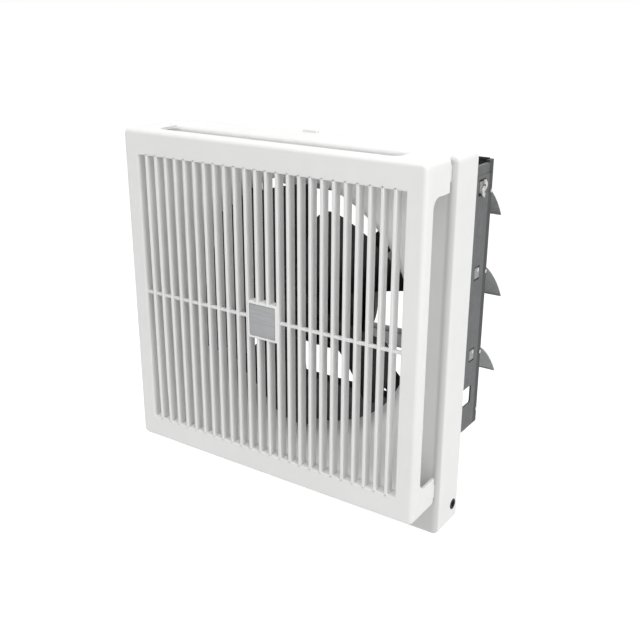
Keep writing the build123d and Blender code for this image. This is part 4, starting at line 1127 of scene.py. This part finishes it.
# Stage: a pale floor and surroundings that the camera sees as white; lengths are in metres

floor_reach = 6.0
floor_gap = 0.12
floor_glow, floor_shade = 0.85, 0.3
surroundings_strength = 0.62


def white_to_camera(tree, seen_by_light, seen_by_camera):
    """A mix of what the light sees and what the camera sees, also by way of shiny and clear surfaces."""
    path = tree.nodes.new("ShaderNodeLightPath")
    mix = tree.nodes.new("ShaderNodeMixShader")
    seen_ray = path.outputs["Is Camera Ray"]
    for ray in ("Is Glossy Ray", "Is Transmission Ray"):
        either = wire(tree, "ShaderNodeMath", {0: seen_ray, 1: path.outputs[ray]}, operation="MAXIMUM")
        seen_ray = either.outputs[0]
    tree.links.new(seen_ray, mix.inputs["Fac"])
    tree.links.new(seen_by_light, mix.inputs[1])
    tree.links.new(seen_by_camera, mix.inputs[2])
    return mix.outputs["Shader"]


def stage_material(name, colour):
    """Diffuse for the light, white with the object's faint shadow for the camera."""
    material = bpy.data.materials.new(name)
    material.use_nodes = True
    tree = material.node_tree
    tree.nodes.clear()
    output = tree.nodes.new("ShaderNodeOutputMaterial")
    place = tree.nodes.new("ShaderNodeTexCoord").outputs["Object"]
    tone_mask = wire(tree, "ShaderNodeTexNoise", {"Vector": place, "Scale": 1.5}).outputs["Fac"]
    tone = wire(tree, "ShaderNodeValToRGB", {"Fac": tone_mask})
    tone.color_ramp.elements[0].color = (*near(colour, 0.98), 1)
    tone.color_ramp.elements[1].color = (*near(colour, 1.02), 1)
    diffuse = wire(tree, "ShaderNodeBsdfDiffuse", {"Color": tone.outputs["Color"]})
    glow = wire(tree, "ShaderNodeEmission", {"Color": (1, 1, 1, 1), "Strength": floor_glow})
    shadowed = wire(tree, "ShaderNodeBsdfDiffuse", {"Color": (floor_shade, floor_shade, floor_shade, 1)})
    white = wire(tree, "ShaderNodeAddShader", {0: glow.outputs["Emission"], 1: shadowed.outputs["BSDF"]})
    seen = white_to_camera(tree, diffuse.outputs["BSDF"], white.outputs["Shader"])
    tree.links.new(seen, output.inputs["Surface"])
    return material


floor_level = cad_bounds[0][2] - floor_gap
floor_mesh = bpy.data.meshes.new("floor")
floor_mesh.from_pydata(
    [(-floor_reach, -floor_reach, floor_level), (floor_reach, -floor_reach, floor_level),
     (floor_reach, floor_reach, floor_level), (-floor_reach, floor_reach, floor_level)], [], [(0, 1, 2, 3)])
floor = add_object("floor", floor_mesh)
floor_mesh.materials.append(stage_material("floor_white", (0.80, 0.80, 0.80)))

# Light

world = bpy.data.worlds.new("studio")
world.use_nodes = True
sky = world.node_tree
surroundings = sky.nodes["Background"]
surroundings.inputs["Color"].default_value = (1, 1, 1, 1)
surroundings.inputs["Strength"].default_value = surroundings_strength
white_sky = wire(sky, "ShaderNodeBackground", {"Color": (1, 1, 1, 1), "Strength": 1.0})
seen_sky = white_to_camera(sky, surroundings.outputs["Background"], white_sky.outputs["Background"])
sky.links.new(seen_sky, sky.nodes["World Output"].inputs["Surface"])
bpy.context.scene.world = world


def lamp(name, place, aim, size, power):
    """A round soft lamp that looks at a point; lengths in metres and power in watts."""
    data = bpy.data.lights.new(name, "AREA")
    data.shape = "DISK"
    data.size = size
    data.energy = power
    made = add_object(name, data)
    made.location = place
    made.rotation_euler = (Vector(aim) - Vector(place)).to_track_quat("-Z", "Y").to_euler()


lamp("top_light", place=(0.3, -0.3, 2.4), aim=(0, 0, 0), size=1.6, power=35)
lamp("side_light", place=(2.2, -0.6, 0.9), aim=(0.1, 0, 0), size=1.2, power=19)
lamp("front_light", place=(-0.3, -2.2, 1.4), aim=(0, 0, 0), size=1.2, power=7)

# Camera, at the photograph's place

camera_place = (0.5050, -0.7443, 0.3104)
azimuth = math.radians(33.79)
elevation = math.radians(20.33)
roll = math.radians(0.24)
back = Vector((math.sin(azimuth) * math.cos(elevation), -math.cos(azimuth) * math.cos(elevation),
               math.sin(elevation)))
right = Vector((math.cos(azimuth), math.sin(azimuth), 0))
up = back.cross(right)
right_rolled = right * math.cos(roll) + up * math.sin(roll)
up_rolled = up * math.cos(roll) - right * math.sin(roll)
camera_data = bpy.data.cameras.new("camera")
camera_data.lens = 50.41
camera_data.sensor_width = 36.0
camera_data.clip_start = 0.01
camera = add_object("camera", camera_data)
turn = Matrix((right_rolled, up_rolled, back)).transposed()
camera.matrix_world = Matrix.Translation(camera_place) @ turn.to_4x4()
bpy.context.scene.camera = camera
bpy.context.scene.view_settings.view_transform = "Standard"
